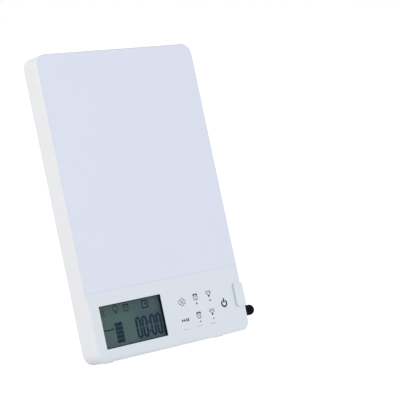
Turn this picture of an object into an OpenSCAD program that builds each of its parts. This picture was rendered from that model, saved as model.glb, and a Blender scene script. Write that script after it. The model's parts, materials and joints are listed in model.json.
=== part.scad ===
// Light therapy lamp: a tablet-shaped light panel that leans back on a fold-out leg.
// Local frame of the panel: X across, Y from its face to its back, Z up along its face.
// Every node is drawn in that frame and then leaned back to stand on the table, Z = 0.

/* [Panel] */
// Width of the panel across its face
panel_w = 199; // [195:1:210]
// Height of the panel along its face
panel_h = 300; // [290:1:320]
// Thickness of the panel from face to back
panel_t = 22; // [22:0.5:24]
// Radius of the panel's four corners
corner_r = 12; // [9:1:14]
// Rounding where the face meets the sides
edge_r = 1; // [0.6:0.1:1.4]
// Thickness of the housing's side walls
wall = 2.2; // [1.8:0.1:2.6]
// How far the panel leans back from upright, in degrees
lean_back = 17.8; // [14:0.2:20]

/* [Face] */
// Height of the control strip under the diffuser
strip_h = 66.8; // [64:0.2:70]
// Width of the white rim beside the diffuser
rim = 1; // [0.8:0.1:1.6]
// Gap all round the diffuser
seam = 0.15; // [0.1:0.05:0.3]
// Thickness of the diffuser panel
diffuser_t = 2.5; // [2:0.1:3]
// Left edge of the display window, from the panel's left side
window_x = 14.1; // [12:0.1:18]
// Lower edge of the display window, from the panel's lower end
window_z = 12.2; // [11:0.2:14]
// Width of the display window
window_w = 77; // [70:0.2:78]
// Height of the display window
window_h = 41.2; // [36:0.2:42]
// Depth of the display's clear pane behind the face
window_depth = 1.7; // [1.4:0.1:1.8]
// Width of the dark gasket round the display window
gasket_w = 0.8; // [0.5:0.1:1.2]

/* [Stand leg] */
// Width of the leg
leg_w = 50; // [40:1:52]
// Length of the leg from its shaft to its tip
leg_l = 92; // [86:1:94]
// Thickness of the leg
leg_t = 6; // [5:0.5:6]
// Slope of the opened leg down to the table, in degrees
leg_slope = 7; // [6:0.5:7]
// Diameter of the tilt shaft
shaft_d = 5; // [4:0.5:5.5]
// Height of the tilt shaft above the panel's lower end
shaft_z = 18.4; // [18.2:0.1:18.6]
// Depth of the tilt shaft behind the face
shaft_y = 14; // [13.8:0.1:14.2]

/* [Knob and clasp] */
// Diameter of the lock knob
knob_d = 11; // [9:0.2:11]
// Length of the lock knob with its round end
knob_l = 21.6; // [18:0.2:26]
// Height of the edge clasp
clasp_h = 24; // [20:0.2:28]
// Width of the clasp's lips on the face and on the back
clasp_lip = 12.4; // [10:0.2:13]
// Thickness of the clasp's lips
clasp_t = 1.9; // [1:0.1:2.2]
// How far the clasp stands out from the panel's side
clasp_out = 1.9; // [1.5:0.1:2.2]

/* [Hidden] */
$fn = 48;
bite = 1;                      // extra length of a cutting shape past a face
gap = 0.1;                     // gap between pieces that lie on each other
half_w = panel_w / 2;
inner_x = half_w - wall;       // inside of the side walls
inner_top = panel_h - wall;
inner_r = corner_r - wall;

// Light stack, as depths behind the face
ledge_y = diffuser_t + 2;      // back of the ledge that carries the diffuser
ledge_in = 6.3;                // how far the ledge reaches in from the side wall
film_t = 0.3;
guide_t = 4;
sheet_t = 0.4;
plate_t = 1;
film_y = ledge_y + gap;
guide_y = film_y + film_t + gap;
sheet_y = guide_y + guide_t + gap;
plate_y = sheet_y + sheet_t + gap;
stack_z0 = strip_h + 1.2;      // lower end of the light stack
stack_z1 = inner_top - 1;
led_board_t = 1;
led_board_w = 5;
led_board_x = inner_x - 0.7 - led_board_t;
led_t = 0.8;
led_h = 3.5;
led_w = 2.8;
led_count = 22;
led_margin = 11;               // from the ends of the stack to the middle of the last emitter
led_z0 = stack_z0 + led_margin - 2;
led_pitch = (stack_z1 - stack_z0 - 2 * led_margin) / (led_count - 1);
guide_w = 2 * (led_board_x - led_t - 0.4);
stack_r = 6;
lead_x = inner_x - 9;          // lead pair that passes the rib on each side
lead_y = 8;
lead_d = 1.2;
lead_step = 0.7;               // from the middle of a pair to each of its leads
passage_d = 3;

// Control strip
face_t = 2.2;                  // thickness of the control strip's front wall
rib_z0 = strip_h - 4.8;        // rib between the light box and the electronics
rib_depth = 13;
win_x0 = window_x - half_w;
win_rebate = 1.9;              // how far the clear pane reaches behind the face
pane_y = window_depth + gap;
pane_t = 1;
glass_y = pane_y + pane_t + gap;
glass_t = 1.6;
glass_rim = 1.5;
gasket_y = 0.2;
board_y = 5.4;
board_t = 1.2;
board_z0 = 8;
board_h = 51;
board_w = 190;
board_hole_x = board_w / 2 - 4;
board_hole_z = [board_z0 + 4, board_z0 + board_h - 4];
board_screw_d = 2.2;
board_screw_l = 5.6;
board_boss_d = 5;
chip = [40, 40];               // lower left corner of the control chip
chip_w = 12;
chip_t = 1.4;
coil = [66, 47];               // middle of the driver coil
coil_d = [11, 8];              // diameters of its flanges and of its core
coil_y = [1.2, 4.9, 6.1];      // depths behind the board where its flanges end and begin
capacitor_x = [-66, -54];
capacitor_z = 50;
capacitor_d = 8;
capacitor_l = 10;
buzzer = [-40, 47];            // middle of the buzzer
buzzer_d = 12;
buzzer_t = 6;
buzzer_hole = [2, 1.5];        // diameter and depth of its sound hole
key_pad_d = 7;
key_cols = [16.7, 35.3, 53.3]; // key columns, from the panel's middle
key_rows = [24, 42.5];
power_key = [71.6, 31.5];
keys = concat([for (x = key_cols, z = key_rows) [x, z]], [power_key]);

// Back cover
cover_t = 2.2;
cover_y = panel_t - cover_t;
cover_gap = 0.2;
cover_w = 2 * (inner_x - cover_gap);
cover_z0 = wall + cover_gap;
cover_z1 = inner_top - cover_gap;
boss_x = half_w - 6.3;
boss_half = 3.6;
boss_y0 = plate_y + plate_t + 0.4;
boss_z = [9.5, 66, 150, 222, 290.5];
screw_d = 2.4;                 // thread of the cover and bracket screws
screw_head_d = 5;
screw_head_t = 1.6;
cover_screw_l = 8;
screw_slot_l = 3;
screw_slot_w = 0.6;
screw_slot_depth = 0.8;
cover_rib_t = 1.6;
cover_rib_z = [150, 200, 250];
vent_count = 11;
vent_pitch = 7;
vent_w = 2.4;
vent_l = 26;
vent_z0 = 262;
vent_x = 45;                   // middle of each group of vents, from the panel's middle

// Leg and the bay that it folds into
fold_deg = 90 - lean_back + leg_slope;
side_gap = 0.8;                // play beside the leg
bay_wall = 1.4;
barrel_r = 5;
leg_y0 = shaft_y + 1.4;        // inner face of the folded leg
leg_tip_r = 8;
bay_half = leg_w / 2 + side_gap;
bay_y = shaft_y - barrel_r - 0.4;
bay_z0 = shaft_z - 8.6;
bay_z1 = shaft_z + barrel_r + 1.3;
pan_y = leg_y0 - 0.5;
pan_z1 = shaft_z + leg_l + 1.8;
notch_r = 11;
pocket_in = 3;                 // wall round the leg's hollow
pocket_z0 = shaft_z + 9;
pocket_y1 = leg_y0 + 3.4;
leg_cover_t = 1.4;
pad_l = 14;
pad_in = 4;
run_fit = 0.05;                // radial play of what turns on the shaft
bracket_x0 = bay_half + bay_wall + 0.2;
bracket_t = 8;
bracket_z = [shaft_z - 11, shaft_z + 18];
bracket_screw_z = [shaft_z - 6.8, shaft_z + 13];
bracket_y0 = 9.4;
washer_t = 0.6;
bush_r = shaft_d / 2 + 1.5;
bush_flange_r = bush_r + 1;
clip_x = -(bracket_x0 + bracket_t + 0.3);
clip_t = 0.8;
groove_d = shaft_d - 1.2;

// Knob, outside the right side wall
knob_x0 = half_w + 0.5;
knob_tip = knob_x0 + knob_l;
thread_d = shaft_d - 0.2;
insert_d = 7;
insert_l = 10;
insert_x0 = knob_x0 + 1;
shaft_end = insert_x0 + insert_l;

// Clasp round the right edge, just above the knob
clasp_z0 = shaft_z + knob_d / 2 + 0.5;
clasp_x0 = half_w - clasp_lip;
clasp_x1 = half_w + clasp_out;
clasp_r = 3;
clasp_screw_x = half_w - 5.2;
clasp_screw_z = clasp_z0 + clasp_h / 2;

// Power inlet in the back cover
inlet_x = -72;
inlet_z = 24;
inlet_body = 10;
inlet_y0 = 9.6;
inlet_mouth_d = 6.3;
inlet_pin_d = 2;
inlet_collar_d = 8.6;

// Feet and where the panel stands
foot_gap = 0.6;                // table to the panel's lower back edge
foot_x = 72;
foot_w = 12;
foot_y = [panel_t - 3.6, panel_t - 0.4];
base_z = foot_gap + panel_t * sin(lean_back);
front_y = edge_r * (sin(lean_back) + cos(lean_back) - 1);
back_y = panel_t * cos(lean_back) + panel_h * sin(lean_back);
base_y = -(front_y + back_y) / 2;
panel_x = -(knob_tip - half_w) / 2;
far = 400;

white = [0.93, 0.94, 0.94];
grey = [0.75, 0.77, 0.78];
steel = [0.72, 0.73, 0.75];
rubber = [0.88, 0.89, 0.89];
black = [0.09, 0.09, 0.12];
green = [0.1, 0.36, 0.24];
brass = [0.78, 0.63, 0.3];

// ---- shared shapes ----

// Leans the panel back and stands it on the table.
module standing() {
    translate([panel_x, base_y, base_z])
        rotate([-lean_back, 0, 0])
            children();
}

// Flat outline in X and Z, given thickness from depth y0 to depth y1.
module slab(y0, y1) {
    translate([0, y1, 0])
        rotate([90, 0, 0])
            linear_extrude(y1 - y0)
                children();
}

// Rectangle with round corners: x and z of its lower left corner, width, height, radius.
module round_rect(x, z, w, h, r) {
    translate([x + r, z])
        square([w - 2 * r, h]);
    translate([x, z + r])
        square([w, h - 2 * r]);
    for (cx = [x + r, x + w - r], cz = [z + r, z + h - r])
        translate([cx, cz])
            circle(r);
}

// Rectangle with only its upper corners round.
module arched_rect(x, z, w, h, r) {
    translate([x, z])
        square([w, h - r]);
    translate([x + r, z])
        square([w - 2 * r, h]);
    for (cx = [x + r, x + w - r])
        translate([cx, z + h - r])
            circle(r);
}

// Cylinder along Y from depth y0 to y1 at x, z.
module rod_y(x, z, y0, y1, d) {
    translate([x, y1, z])
        rotate([90, 0, 0])
            cylinder(h = y1 - y0, d = d);
}

// Cylinder along X from x0 to x1 on the shaft's line.
module rod_x(x0, x1, d) {
    translate([x0, shaft_y, shaft_z])
        rotate([0, 90, 0])
            cylinder(h = x1 - x0, d = d);
}

// Turns what is drawn folded into the leg's open position.
module opened() {
    translate([0, shaft_y, shaft_z])
        rotate([-fold_deg, 0, 0])
            translate([0, -shaft_y, -shaft_z])
                children();
}

// Screw along Y with its head towards the back, head_y being the head's outer face.
module back_screw(x, z, head_y, length, d) {
    rod_y(x, z, head_y - length, head_y - screw_head_t + gap, d);
    difference() {
        rod_y(x, z, head_y - screw_head_t, head_y, screw_head_d);
        for (turn = [0, 90])
            translate([x, head_y, z])
                rotate([0, turn, 0])
                    cube([screw_slot_l, 2 * screw_slot_depth, screw_slot_w], center = true);
    }
}

// Section of the panel across one pair of edges: rounded where the face meets them.
module soft_section(length) {
    translate([edge_r, 0])
        square([panel_t - edge_r, length]);
    translate([0, edge_r])
        square([panel_t, length - 2 * edge_r]);
    for (v = [edge_r, length - edge_r])
        translate([edge_r, v])
            circle(edge_r);
}

// The panel's outer form with its softened front edges.
module soft_block() {
    // Corner columns
    for (x = [-1, 1], z = [corner_r, panel_h - corner_r])
        translate([x * (half_w - corner_r), 0, z])
            rotate([-90, 0, 0])
                rotate_extrude()
                    intersection() {
                        translate([-corner_r, 0])
                            rotate([0, 0, 90])
                                mirror([0, 1])
                                    soft_section(2 * corner_r);
                        square([corner_r, panel_t]);
                    }
    // Between the left and right corners, and between the lower and upper ones
    translate([-half_w + corner_r, 0, 0])
        rotate([90, 0, 90])
            linear_extrude(panel_w - 2 * corner_r)
                soft_section(panel_h);
    translate([-half_w, 0, corner_r])
        linear_extrude(panel_h - 2 * corner_r)
            mirror([1, -1])
                soft_section(panel_w);
}

// ---- shell ----

// White moulding: side walls, control strip, ledge for the diffuser, rib and bosses.
module front_housing() {
    color(white)
        standing() {
            difference() {
                soft_block();
                // Seat of the diffuser, and the light box behind it
                slab(-bite, diffuser_t)
                    arched_rect(-half_w + rim, strip_h, panel_w - 2 * rim,
                        panel_h - strip_h - rim, corner_r - rim);
                slab(diffuser_t - bite, ledge_y + bite)
                    round_rect(-inner_x + ledge_in, strip_h + ledge_in / 2, 2 * (inner_x - ledge_in),
                        inner_top - strip_h - 1.5 * ledge_in, 4);
                slab(ledge_y, panel_t + bite)
                    arched_rect(-inner_x, strip_h, 2 * inner_x, inner_top - strip_h, inner_r);
                // Room for the electronics, and the room above the rib's depth
                slab(face_t, panel_t + bite)
                    round_rect(-inner_x, wall, 2 * inner_x, rib_z0 - wall, 2);
                slab(rib_depth, panel_t + bite)
                    translate([-inner_x, wall + inner_r])
                        square([2 * inner_x, strip_h]);
                // Display window with its gasket's seat, and the seat of its clear pane
                slab(-bite, face_t + bite)
                    window_shape(gasket_w);
                slab(window_depth, face_t + bite)
                    window_shape(win_rebate);
                // Bushing of the shaft in the right wall
                rod_x(inner_x - bite, half_w + bite, 2 * bush_r + 0.1);
                // Passages for the light's leads
                for (side = [-1, 1])
                    translate([side * lead_x, lead_y, rib_z0 - bite])
                        cylinder(h = strip_h - rib_z0 + 2 * bite, d = passage_d);
            }
            // Bosses for the back cover's screws
            for (side = [-1, 1], z = boss_z)
                difference() {
                    translate([side > 0 ? boss_x - boss_half : -inner_x - 0.5, boss_y0, z - boss_half])
                        cube([inner_x + 0.5 - boss_x + boss_half, cover_y - gap - boss_y0, 2 * boss_half]);
                    rod_y(side * boss_x, z, boss_y0 - bite, cover_y + bite, screw_d + 0.1);
                }
            // Bosses for the control board
            for (side = [-1, 1], z = board_hole_z)
                difference() {
                    rod_y(side * board_hole_x, z, face_t - 0.5, board_y - gap, board_boss_d);
                    rod_y(side * board_hole_x, z, face_t, board_y + bite, board_screw_d + 0.1);
                }
        }
}

// Flat cover of the back with the bay and the pan that the leg folds into.
module back_cover() {
    color(white)
        standing()
            difference() {
                union() {
                    slab(cover_y, panel_t)
                        round_rect(-cover_w / 2, cover_z0, cover_w, cover_z1 - cover_z0, inner_r - cover_gap);
                    translate([-bay_half - bay_wall, bay_y - bay_wall, bay_z0 - bay_wall])
                        cube([2 * (bay_half + bay_wall), panel_t - bay_y + bay_wall - gap,
                            bay_z1 - bay_z0 + 2 * bay_wall]);
                    translate([-bay_half - bay_wall, pan_y - bay_wall, bay_z0])
                        cube([2 * (bay_half + bay_wall), panel_t - pan_y + bay_wall - gap,
                            pan_z1 - bay_z0 + bay_wall]);
                    slab(pan_y - bay_wall, panel_t - gap)
                        translate([0, pan_z1])
                            circle(notch_r + bay_wall);
                    for (z = cover_rib_z)
                        translate([-inner_x + 12, boss_y0, z])
                            cube([2 * (inner_x - 12), cover_y - boss_y0 + gap, cover_rib_t]);
                }
                // Bay round the leg's barrel, pan round the leg, and notch for a finger
                translate([-bay_half, bay_y, bay_z0])
                    cube([2 * bay_half, panel_t, bay_z1 - bay_z0]);
                slab(pan_y, panel_t + bite)
                    arched_rect(-bay_half, bay_z0, 2 * bay_half, pan_z1 - bay_z0, leg_tip_r);
                slab(pan_y, panel_t + bite)
                    translate([0, pan_z1])
                        circle(notch_r);
                rod_x(-bay_half - 2 * bay_wall, bay_half + 2 * bay_wall, shaft_d + 0.4);
                // Screws of the cover and of the shaft brackets
                for (side = [-1, 1]) {
                    for (z = boss_z)
                        screw_seat(side * boss_x, z);
                    for (z = bracket_screw_z)
                        screw_seat(side * (bracket_x0 + bracket_t / 2), z);
                }
                rod_y(clasp_screw_x, clasp_screw_z, cover_y - bite, panel_t + bite, 3);
                // Power inlet, and the vents above the light
                rod_y(inlet_x, inlet_z, cover_y - bite, panel_t + bite, inlet_collar_d + 0.4);
                for (side = [-1, 1], i = [0:vent_count - 1])
                    slab(cover_y - bite, panel_t + bite)
                        round_rect(side * vent_x + (i - (vent_count - 1) / 2) * vent_pitch - vent_w / 2,
                            vent_z0, vent_w, vent_l, vent_w / 2 - 0.05);
            }
}

// Hole and counterbore for one screw of the back cover.
module screw_seat(x, z) {
    rod_y(x, z, cover_y - bite, panel_t + bite, screw_d + 0.6);
    rod_y(x, z, panel_t - screw_head_t - 2 * gap, panel_t + bite, screw_head_d + 0.4);
}

module cover_screws() {
    color(steel)
        standing()
            for (side = [-1, 1], z = boss_z)
                back_screw(side * boss_x, z, panel_t - gap, cover_screw_l, screw_d);
}

// ---- light ----

// Opal panel that fills the face above the control strip.
module diffuser_panel() {
    color([0.85, 0.87, 0.94])
        standing()
            slab(0, diffuser_t - gap)
                arched_rect(-half_w + rim + seam, strip_h + 2 * seam, panel_w - 2 * (rim + seam),
                    panel_h - strip_h - rim - 3 * seam, corner_r - rim - seam);
}

// One sheet of the light stack, from depth y for a thickness t.
module sheet(w, y, t) {
    standing()
        slab(y, y + t)
            round_rect(-w / 2, stack_z0, w, stack_z1 - stack_z0, stack_r);
}

module diffuser_film() {
    color([0.95, 0.95, 0.97])
        sheet(guide_w, film_y, film_t);
}

module light_guide() {
    color([0.8, 0.88, 0.92, 0.6])
        sheet(guide_w, guide_y, guide_t);
}

module reflector_sheet() {
    color("white")
        sheet(guide_w, sheet_y, sheet_t);
}

module backing_plate() {
    color(steel)
        sheet(guide_w, plate_y, plate_t);
}

// Narrow circuit board standing on edge beside the light guide, side being -1 or 1.
module led_board(side) {
    color("white")
        standing()
            translate([side > 0 ? led_board_x : -led_board_x - led_board_t, ledge_y + 0.3, stack_z0 + 2])
                cube([led_board_t, led_board_w, stack_z1 - stack_z0 - 10]);
}

// Row of light emitters on the inner face of one narrow board.
module led_row(side) {
    color([0.95, 0.85, 0.4])
        standing()
            for (i = [0:led_count - 1])
                translate([side > 0 ? led_board_x - led_t : -led_board_x, guide_y + guide_t / 2 - led_w / 2,
                        led_z0 + i * led_pitch - led_h / 2])
                    cube([led_t, led_w, led_h]);
}

module left_led_board() {
    led_board(-1);
}

module right_led_board() {
    led_board(1);
}

module left_leds() {
    led_row(-1);
}

module right_leds() {
    led_row(1);
}

// Lead pairs that pass the rib from the control board to the light.
module led_leads() {
    color("red")
        standing()
            for (side = [-1, 1], step = [-lead_step, lead_step])
                translate([side * lead_x + step, lead_y, board_z0 + board_h + 0.5])
                    cylinder(h = strip_h - board_z0 - board_h, d = lead_d);
}

// ---- control strip ----

// The display window's outline, grown by a margin on every side.
module window_shape(margin) {
    translate([win_x0 - margin, window_z - margin])
        square([window_w + 2 * margin, window_h + 2 * margin]);
}

// Dark frame that lines the window's edge in front of the clear pane.
module display_gasket() {
    color(black)
        standing()
            slab(gasket_y, window_depth)
                difference() {
                    window_shape(gasket_w - gap / 2);
                    window_shape(0);
                }
}

module lcd_window() {
    color([0.7, 0.8, 0.8, 0.5])
        standing()
            slab(pane_y, pane_y + pane_t)
                window_shape(win_rebate - seam);
}

module lcd_glass() {
    color([0.38, 0.46, 0.46])
        standing()
            slab(glass_y, glass_y + glass_t)
                window_shape(glass_rim);
}

// Rubber strip that carries the signals from the board to the display glass.
module lcd_contact_strip() {
    color(black)
        standing()
            slab(glass_y + glass_t + gap, board_y)
                translate([win_x0 + 3, window_z + window_h - 2])
                    square([window_w - 6, 2.4]);
}

module control_board() {
    color(green)
        standing()
            difference() {
                slab(board_y, board_y + board_t)
                    round_rect(-board_w / 2, board_z0, board_w, board_h, 2);
                for (side = [-1, 1], z = board_hole_z)
                    rod_y(side * board_hole_x, z, board_y - bite, board_back() + bite,
                        board_screw_d + 0.6);
            }
}

// Depth of the board's back, where its parts stand.
function board_back() = board_y + board_t;

module control_chip() {
    color(black)
        standing()
            translate([chip[0], board_back(), chip[1]])
                cube([chip_w, chip_t, chip_w]);
}

module driver_coil() {
    color([0.2, 0.2, 0.22])
        standing() {
            rod_y(coil[0], coil[1], board_back(), board_back() + coil_y[0], coil_d[0]);
            rod_y(coil[0], coil[1], board_back() + coil_y[0] - gap, board_back() + coil_y[1] + gap,
                coil_d[1]);
            rod_y(coil[0], coil[1], board_back() + coil_y[1], board_back() + coil_y[2], coil_d[0]);
        }
}

module board_capacitors() {
    color([0.15, 0.2, 0.4])
        standing()
            for (x = capacitor_x)
                rod_y(x, capacitor_z, board_back(), board_back() + capacitor_l, capacitor_d);
}

module alarm_buzzer() {
    color(black)
        standing()
            difference() {
                rod_y(buzzer[0], buzzer[1], board_back(), board_back() + buzzer_t, buzzer_d);
                rod_y(buzzer[0], buzzer[1], board_back() + buzzer_t - buzzer_hole[1],
                    board_back() + buzzer_t + bite, buzzer_hole[0]);
            }
}

// Conductive foam pads between the board and the face, one behind each touch key.
module touch_pads() {
    color(grey)
        standing()
            for (key = keys)
                rod_y(key[0], key[1], face_t + gap, board_y - gap, key_pad_d);
}

module board_screws() {
    color(steel)
        standing()
            for (side = [-1, 1], z = board_hole_z)
                back_screw(side * board_hole_x, z, board_back() + screw_head_t, board_screw_l, board_screw_d);
}

// Round inlet for the power lead, behind its hole in the back cover.
module power_inlet() {
    color(black)
        standing()
            difference() {
                union() {
                    translate([inlet_x - inlet_body / 2, inlet_y0, inlet_z - inlet_body / 2])
                        cube([inlet_body, cover_y - 0.3 - inlet_y0, inlet_body]);
                    rod_y(inlet_x, inlet_z, cover_y - 1, panel_t - 0.3, inlet_collar_d);
                }
                rod_y(inlet_x, inlet_z, inlet_y0 + 2, panel_t + bite, inlet_mouth_d);
                rod_y(inlet_x, inlet_z, inlet_y0 - bite, inlet_y0 + 2 + bite, inlet_pin_d + 0.1);
            }
}

module inlet_pin() {
    color(brass)
        standing()
            rod_y(inlet_x, inlet_z, inlet_y0 + 0.2, panel_t - 2, inlet_pin_d);
}

// ---- stand ----

// Leg with its barrel round the shaft and a hollow on its inner face.
module stand_leg() {
    color(white)
        standing()
            opened()
                difference() {
                    union() {
                        rod_x(-leg_w / 2, leg_w / 2, 2 * barrel_r);
                        slab(leg_y0, leg_y0 + leg_t)
                            arched_rect(-leg_w / 2, shaft_z, leg_w, leg_l, leg_tip_r);
                    }
                    slab(leg_y0 - bite, pocket_y1)
                        arched_rect(-leg_w / 2 + pocket_in, pocket_z0, leg_w - 2 * pocket_in,
                            shaft_z + leg_l - pocket_in - pocket_z0, leg_tip_r - pocket_in);
                    rod_x(-half_w, half_w, shaft_d + 2 * run_fit);
                }
}

// Thin plate that closes the leg's hollow.
module leg_cover() {
    color(white)
        standing()
            opened()
                slab(leg_y0, leg_y0 + leg_cover_t)
                    arched_rect(-leg_w / 2 + pocket_in + seam, pocket_z0 + seam,
                        leg_w - 2 * (pocket_in + seam),
                        shaft_z + leg_l - pocket_in - pocket_z0 - 2 * seam,
                        leg_tip_r - pocket_in - seam);
}

// Keeps what lies above the table.
module above_table() {
    intersection() {
        children();
        translate([-far / 2, -far / 2, 0])
            cube(far);
    }
}

// Rubber pad under the tip of the open leg, flat on the table.
module leg_pad() {
    color(rubber)
        above_table()
            standing()
                opened()
                    slab(leg_y0 + leg_t, leg_y0 + leg_t + 8)
                        round_rect(-leg_w / 2 + pad_in, shaft_z + leg_l - pad_in - pad_l, leg_w - 2 * pad_in,
                            pad_l, 4);
}

// Two soft feet under the panel's lower back edge, flat on the table.
module edge_feet() {
    color(rubber)
        above_table()
            standing()
                for (side = [-1, 1])
                    translate([side * foot_x - foot_w / 2, foot_y[0], -8])
                        cube([foot_w, foot_y[1] - foot_y[0], 8]);
}

// Steel shaft through the leg, held at its left end and threaded at its right end.
module tilt_shaft() {
    color(steel)
        standing()
            difference() {
                union() {
                    rod_x(clip_x - 3, half_w - gap, shaft_d);
                    rod_x(half_w - 2 * gap, shaft_end, thread_d);
                }
                difference() {
                    rod_x(clip_x - clip_t - 0.2, clip_x, shaft_d + bite);
                    rod_x(clip_x - clip_t - 1, clip_x + 1, groove_d);
                }
            }
}

// Block that carries the shaft beside the bay, x0 being its left face.
module shaft_bracket(x0) {
    color(grey)
        standing()
            difference() {
                translate([x0, bracket_y0, bracket_z[0]])
                    cube([bracket_t, cover_y - gap - bracket_y0, bracket_z[1] - bracket_z[0]]);
                rod_x(x0 - bite, x0 + bracket_t + bite, shaft_d + 0.1);
                for (z = bracket_screw_z)
                    rod_y(x0 + bracket_t / 2, z, cover_y - 7, cover_y + bite, screw_d + 0.1);
            }
}

module left_shaft_bracket() {
    shaft_bracket(-bracket_x0 - bracket_t);
}

module right_shaft_bracket() {
    shaft_bracket(bracket_x0);
}

module bracket_screws() {
    color(steel)
        standing()
            for (side = [-1, 1], z = bracket_screw_z)
                back_screw(side * (bracket_x0 + bracket_t / 2), z, panel_t - gap, cover_screw_l, screw_d);
}

// Washers between the leg's barrel and the bay's walls, which brake the leg.
module friction_washers() {
    color("tan")
        standing()
            for (x = [-bay_half + gap, bay_half - gap - washer_t])
                difference() {
                    rod_x(x, x + washer_t, 2 * barrel_r - 0.4);
                    rod_x(x - bite, x + washer_t + bite, shaft_d + 0.1);
                }
}

module shaft_clip() {
    color(steel)
        standing()
            difference() {
                rod_x(clip_x - clip_t - 0.1, clip_x - 0.1, shaft_d + 4);
                rod_x(clip_x - 2 * clip_t, clip_x + bite, groove_d + 0.1);
            }
}

// Flanged bushing that carries the shaft in the right side wall.
module side_bushing() {
    color(grey)
        standing()
            difference() {
                union() {
                    rod_x(inner_x - gap, half_w - 0.1, 2 * bush_r);
                    rod_x(inner_x - 1.2, inner_x - gap / 2, 2 * bush_flange_r);
                }
                rod_x(inner_x - 2, half_w + bite, shaft_d + 0.1);
            }
}

// Black knob with a round end that clamps the leg at its slope.
module lock_knob() {
    color(black)
        standing()
            difference() {
                union() {
                    rod_x(knob_x0, knob_tip - knob_d / 2, knob_d);
                    translate([knob_tip - knob_d / 2, shaft_y, shaft_z])
                        sphere(d = knob_d);
                }
                rod_x(knob_x0 - bite, insert_x0, shaft_d + 0.6);
                rod_x(insert_x0 - gap, shaft_end + 0.2, insert_d);
            }
}

module knob_insert() {
    color(brass)
        standing()
            difference() {
                rod_x(insert_x0, shaft_end, insert_d);
                rod_x(insert_x0 - bite, shaft_end + bite, thread_d + 2 * run_fit);
            }
}

// White clasp folded round the panel's right edge, from its face to its back.
module edge_clasp() {
    color([0.9, 0.93, 0.92])
        standing()
            difference() {
                union() {
                    for (y = [-clasp_t, panel_t])
                        slab(y, y + clasp_t)
                            round_rect(clasp_x0, clasp_z0, clasp_x1 - clasp_x0, clasp_h, clasp_r);
                    translate([half_w + 0.05, -clasp_t, clasp_z0])
                        cube([clasp_out - 0.05, panel_t + 2 * clasp_t, clasp_h]);
                }
                rod_y(clasp_screw_x, clasp_screw_z, panel_t - bite, panel_t + clasp_t + bite, 2.9);
            }
}

module clasp_screw() {
    color(steel)
        standing()
            back_screw(clasp_screw_x, clasp_screw_z, panel_t + clasp_t + screw_head_t + 0.05, 9, 2.4);
}

front_housing();
diffuser_panel();
diffuser_film();
light_guide();
reflector_sheet();
backing_plate();
left_led_board();
right_led_board();
left_leds();
right_leds();
led_leads();
display_gasket();
lcd_window();
lcd_glass();
lcd_contact_strip();
control_board();
control_chip();
driver_coil();
board_capacitors();
alarm_buzzer();
touch_pads();
board_screws();
power_inlet();
inlet_pin();
back_cover();
cover_screws();
edge_feet();
stand_leg();
leg_cover();
leg_pad();
tilt_shaft();
left_shaft_bracket();
right_shaft_bracket();
bracket_screws();
friction_washers();
shaft_clip();
side_bushing();
lock_knob();
knob_insert();
edge_clasp();
clasp_screw();
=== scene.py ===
"""Light therapy lamp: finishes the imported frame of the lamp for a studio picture.

Lengths are millimetres in the panel's own axes unless a name says otherwise: X across the
face, Y from the face into the panel, Z up the face. STAND leans the panel back and sets it
on the table in the frame's metres.
"""
import json
from math import asin, cos, degrees, pi, radians, sin, sqrt

import bmesh
import bpy
from mathutils import Matrix, Vector
from mathutils.geometry import delaunay_2d_cdt


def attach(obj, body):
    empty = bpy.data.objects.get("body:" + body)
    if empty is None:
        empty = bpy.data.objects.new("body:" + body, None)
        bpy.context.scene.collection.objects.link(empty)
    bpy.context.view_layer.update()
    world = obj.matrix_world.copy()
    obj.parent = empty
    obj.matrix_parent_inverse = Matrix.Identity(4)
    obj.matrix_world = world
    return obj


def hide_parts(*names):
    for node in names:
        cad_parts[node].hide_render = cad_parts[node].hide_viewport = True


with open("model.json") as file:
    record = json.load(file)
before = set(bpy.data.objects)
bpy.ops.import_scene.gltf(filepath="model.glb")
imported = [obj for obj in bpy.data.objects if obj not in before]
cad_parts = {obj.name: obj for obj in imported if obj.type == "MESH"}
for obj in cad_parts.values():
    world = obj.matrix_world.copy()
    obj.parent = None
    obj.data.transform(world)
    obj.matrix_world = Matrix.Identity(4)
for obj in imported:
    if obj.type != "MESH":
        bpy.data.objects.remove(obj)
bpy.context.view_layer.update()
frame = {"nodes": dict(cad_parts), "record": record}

# -------- driving dimensions
MM = 0.001
PANEL_W, PANEL_H, PANEL_T = 199.0, 300.0, 22.0
HALF_W = PANEL_W / 2
CORNER_R = 12.0
LOWER_RIGHT_R = 9.5                     # the corner below the knob is a little tighter than the others
LEAN = radians(17.8)
WALL = 2.2
STRIP_H = 66.8
RIM = 1.0
DIFFUSER_T, DIFFUSER_GAP = 2.4, 0.06
LEDGE_Y, LEDGE_IN, LEDGE_UP, LEDGE_R = 4.5, 8.5, 3.15, 4.0
EDGE_R = 1.0                            # rounding of the solids' front edges
SIDE_ROUND = 0.84                       # rounding of the edge beside the diffuser
STRIP_ROUND = 4.2                       # and beside the control strip, on its left
SOFT_TOP = 54.0                         # height up to which that left edge keeps its full rounding

WINDOW = (-85.4, 12.2, -8.4, 53.4)      # left, lower, right and upper edge
WINDOW_DEPTH, WINDOW_REBATE = 1.7, 1.9
GASKET_W, GASKET_Y = 0.8, 0.2
PANE_T, PANE_GAP, GLASS_T, GLASS_OUT = 1.0, 0.15, 1.6, 1.5
FACE_MIDDLE = 99.3                      # middle of the face, as measured from its left in the picture
SIGHT_SLOPE = 0.81                      # shift to the left in the picture of what lies deeper, per depth
PRINT_DEPTHS = (-0.03, 0.05)            # the print's face, and its back inside the housing's skin

SHAFT_Y, SHAFT_Z = 14.0, 18.4
KNOB_D, KNOB_X0, KNOB_X1 = 11.0, HALF_W + 0.5, HALF_W + 22.1
CLASP_Z0, CLASP_Z1 = 24.4, 48.4
CLASP_LIP, CLASP_T, CLASP_OUT = 12.4, 1.9, 1.9
FOOT_GAP = 0.6
FOOT_X, FOOT_W, FOOT_Y = 72.0, 12.0, (18.4, 21.6)

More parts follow.
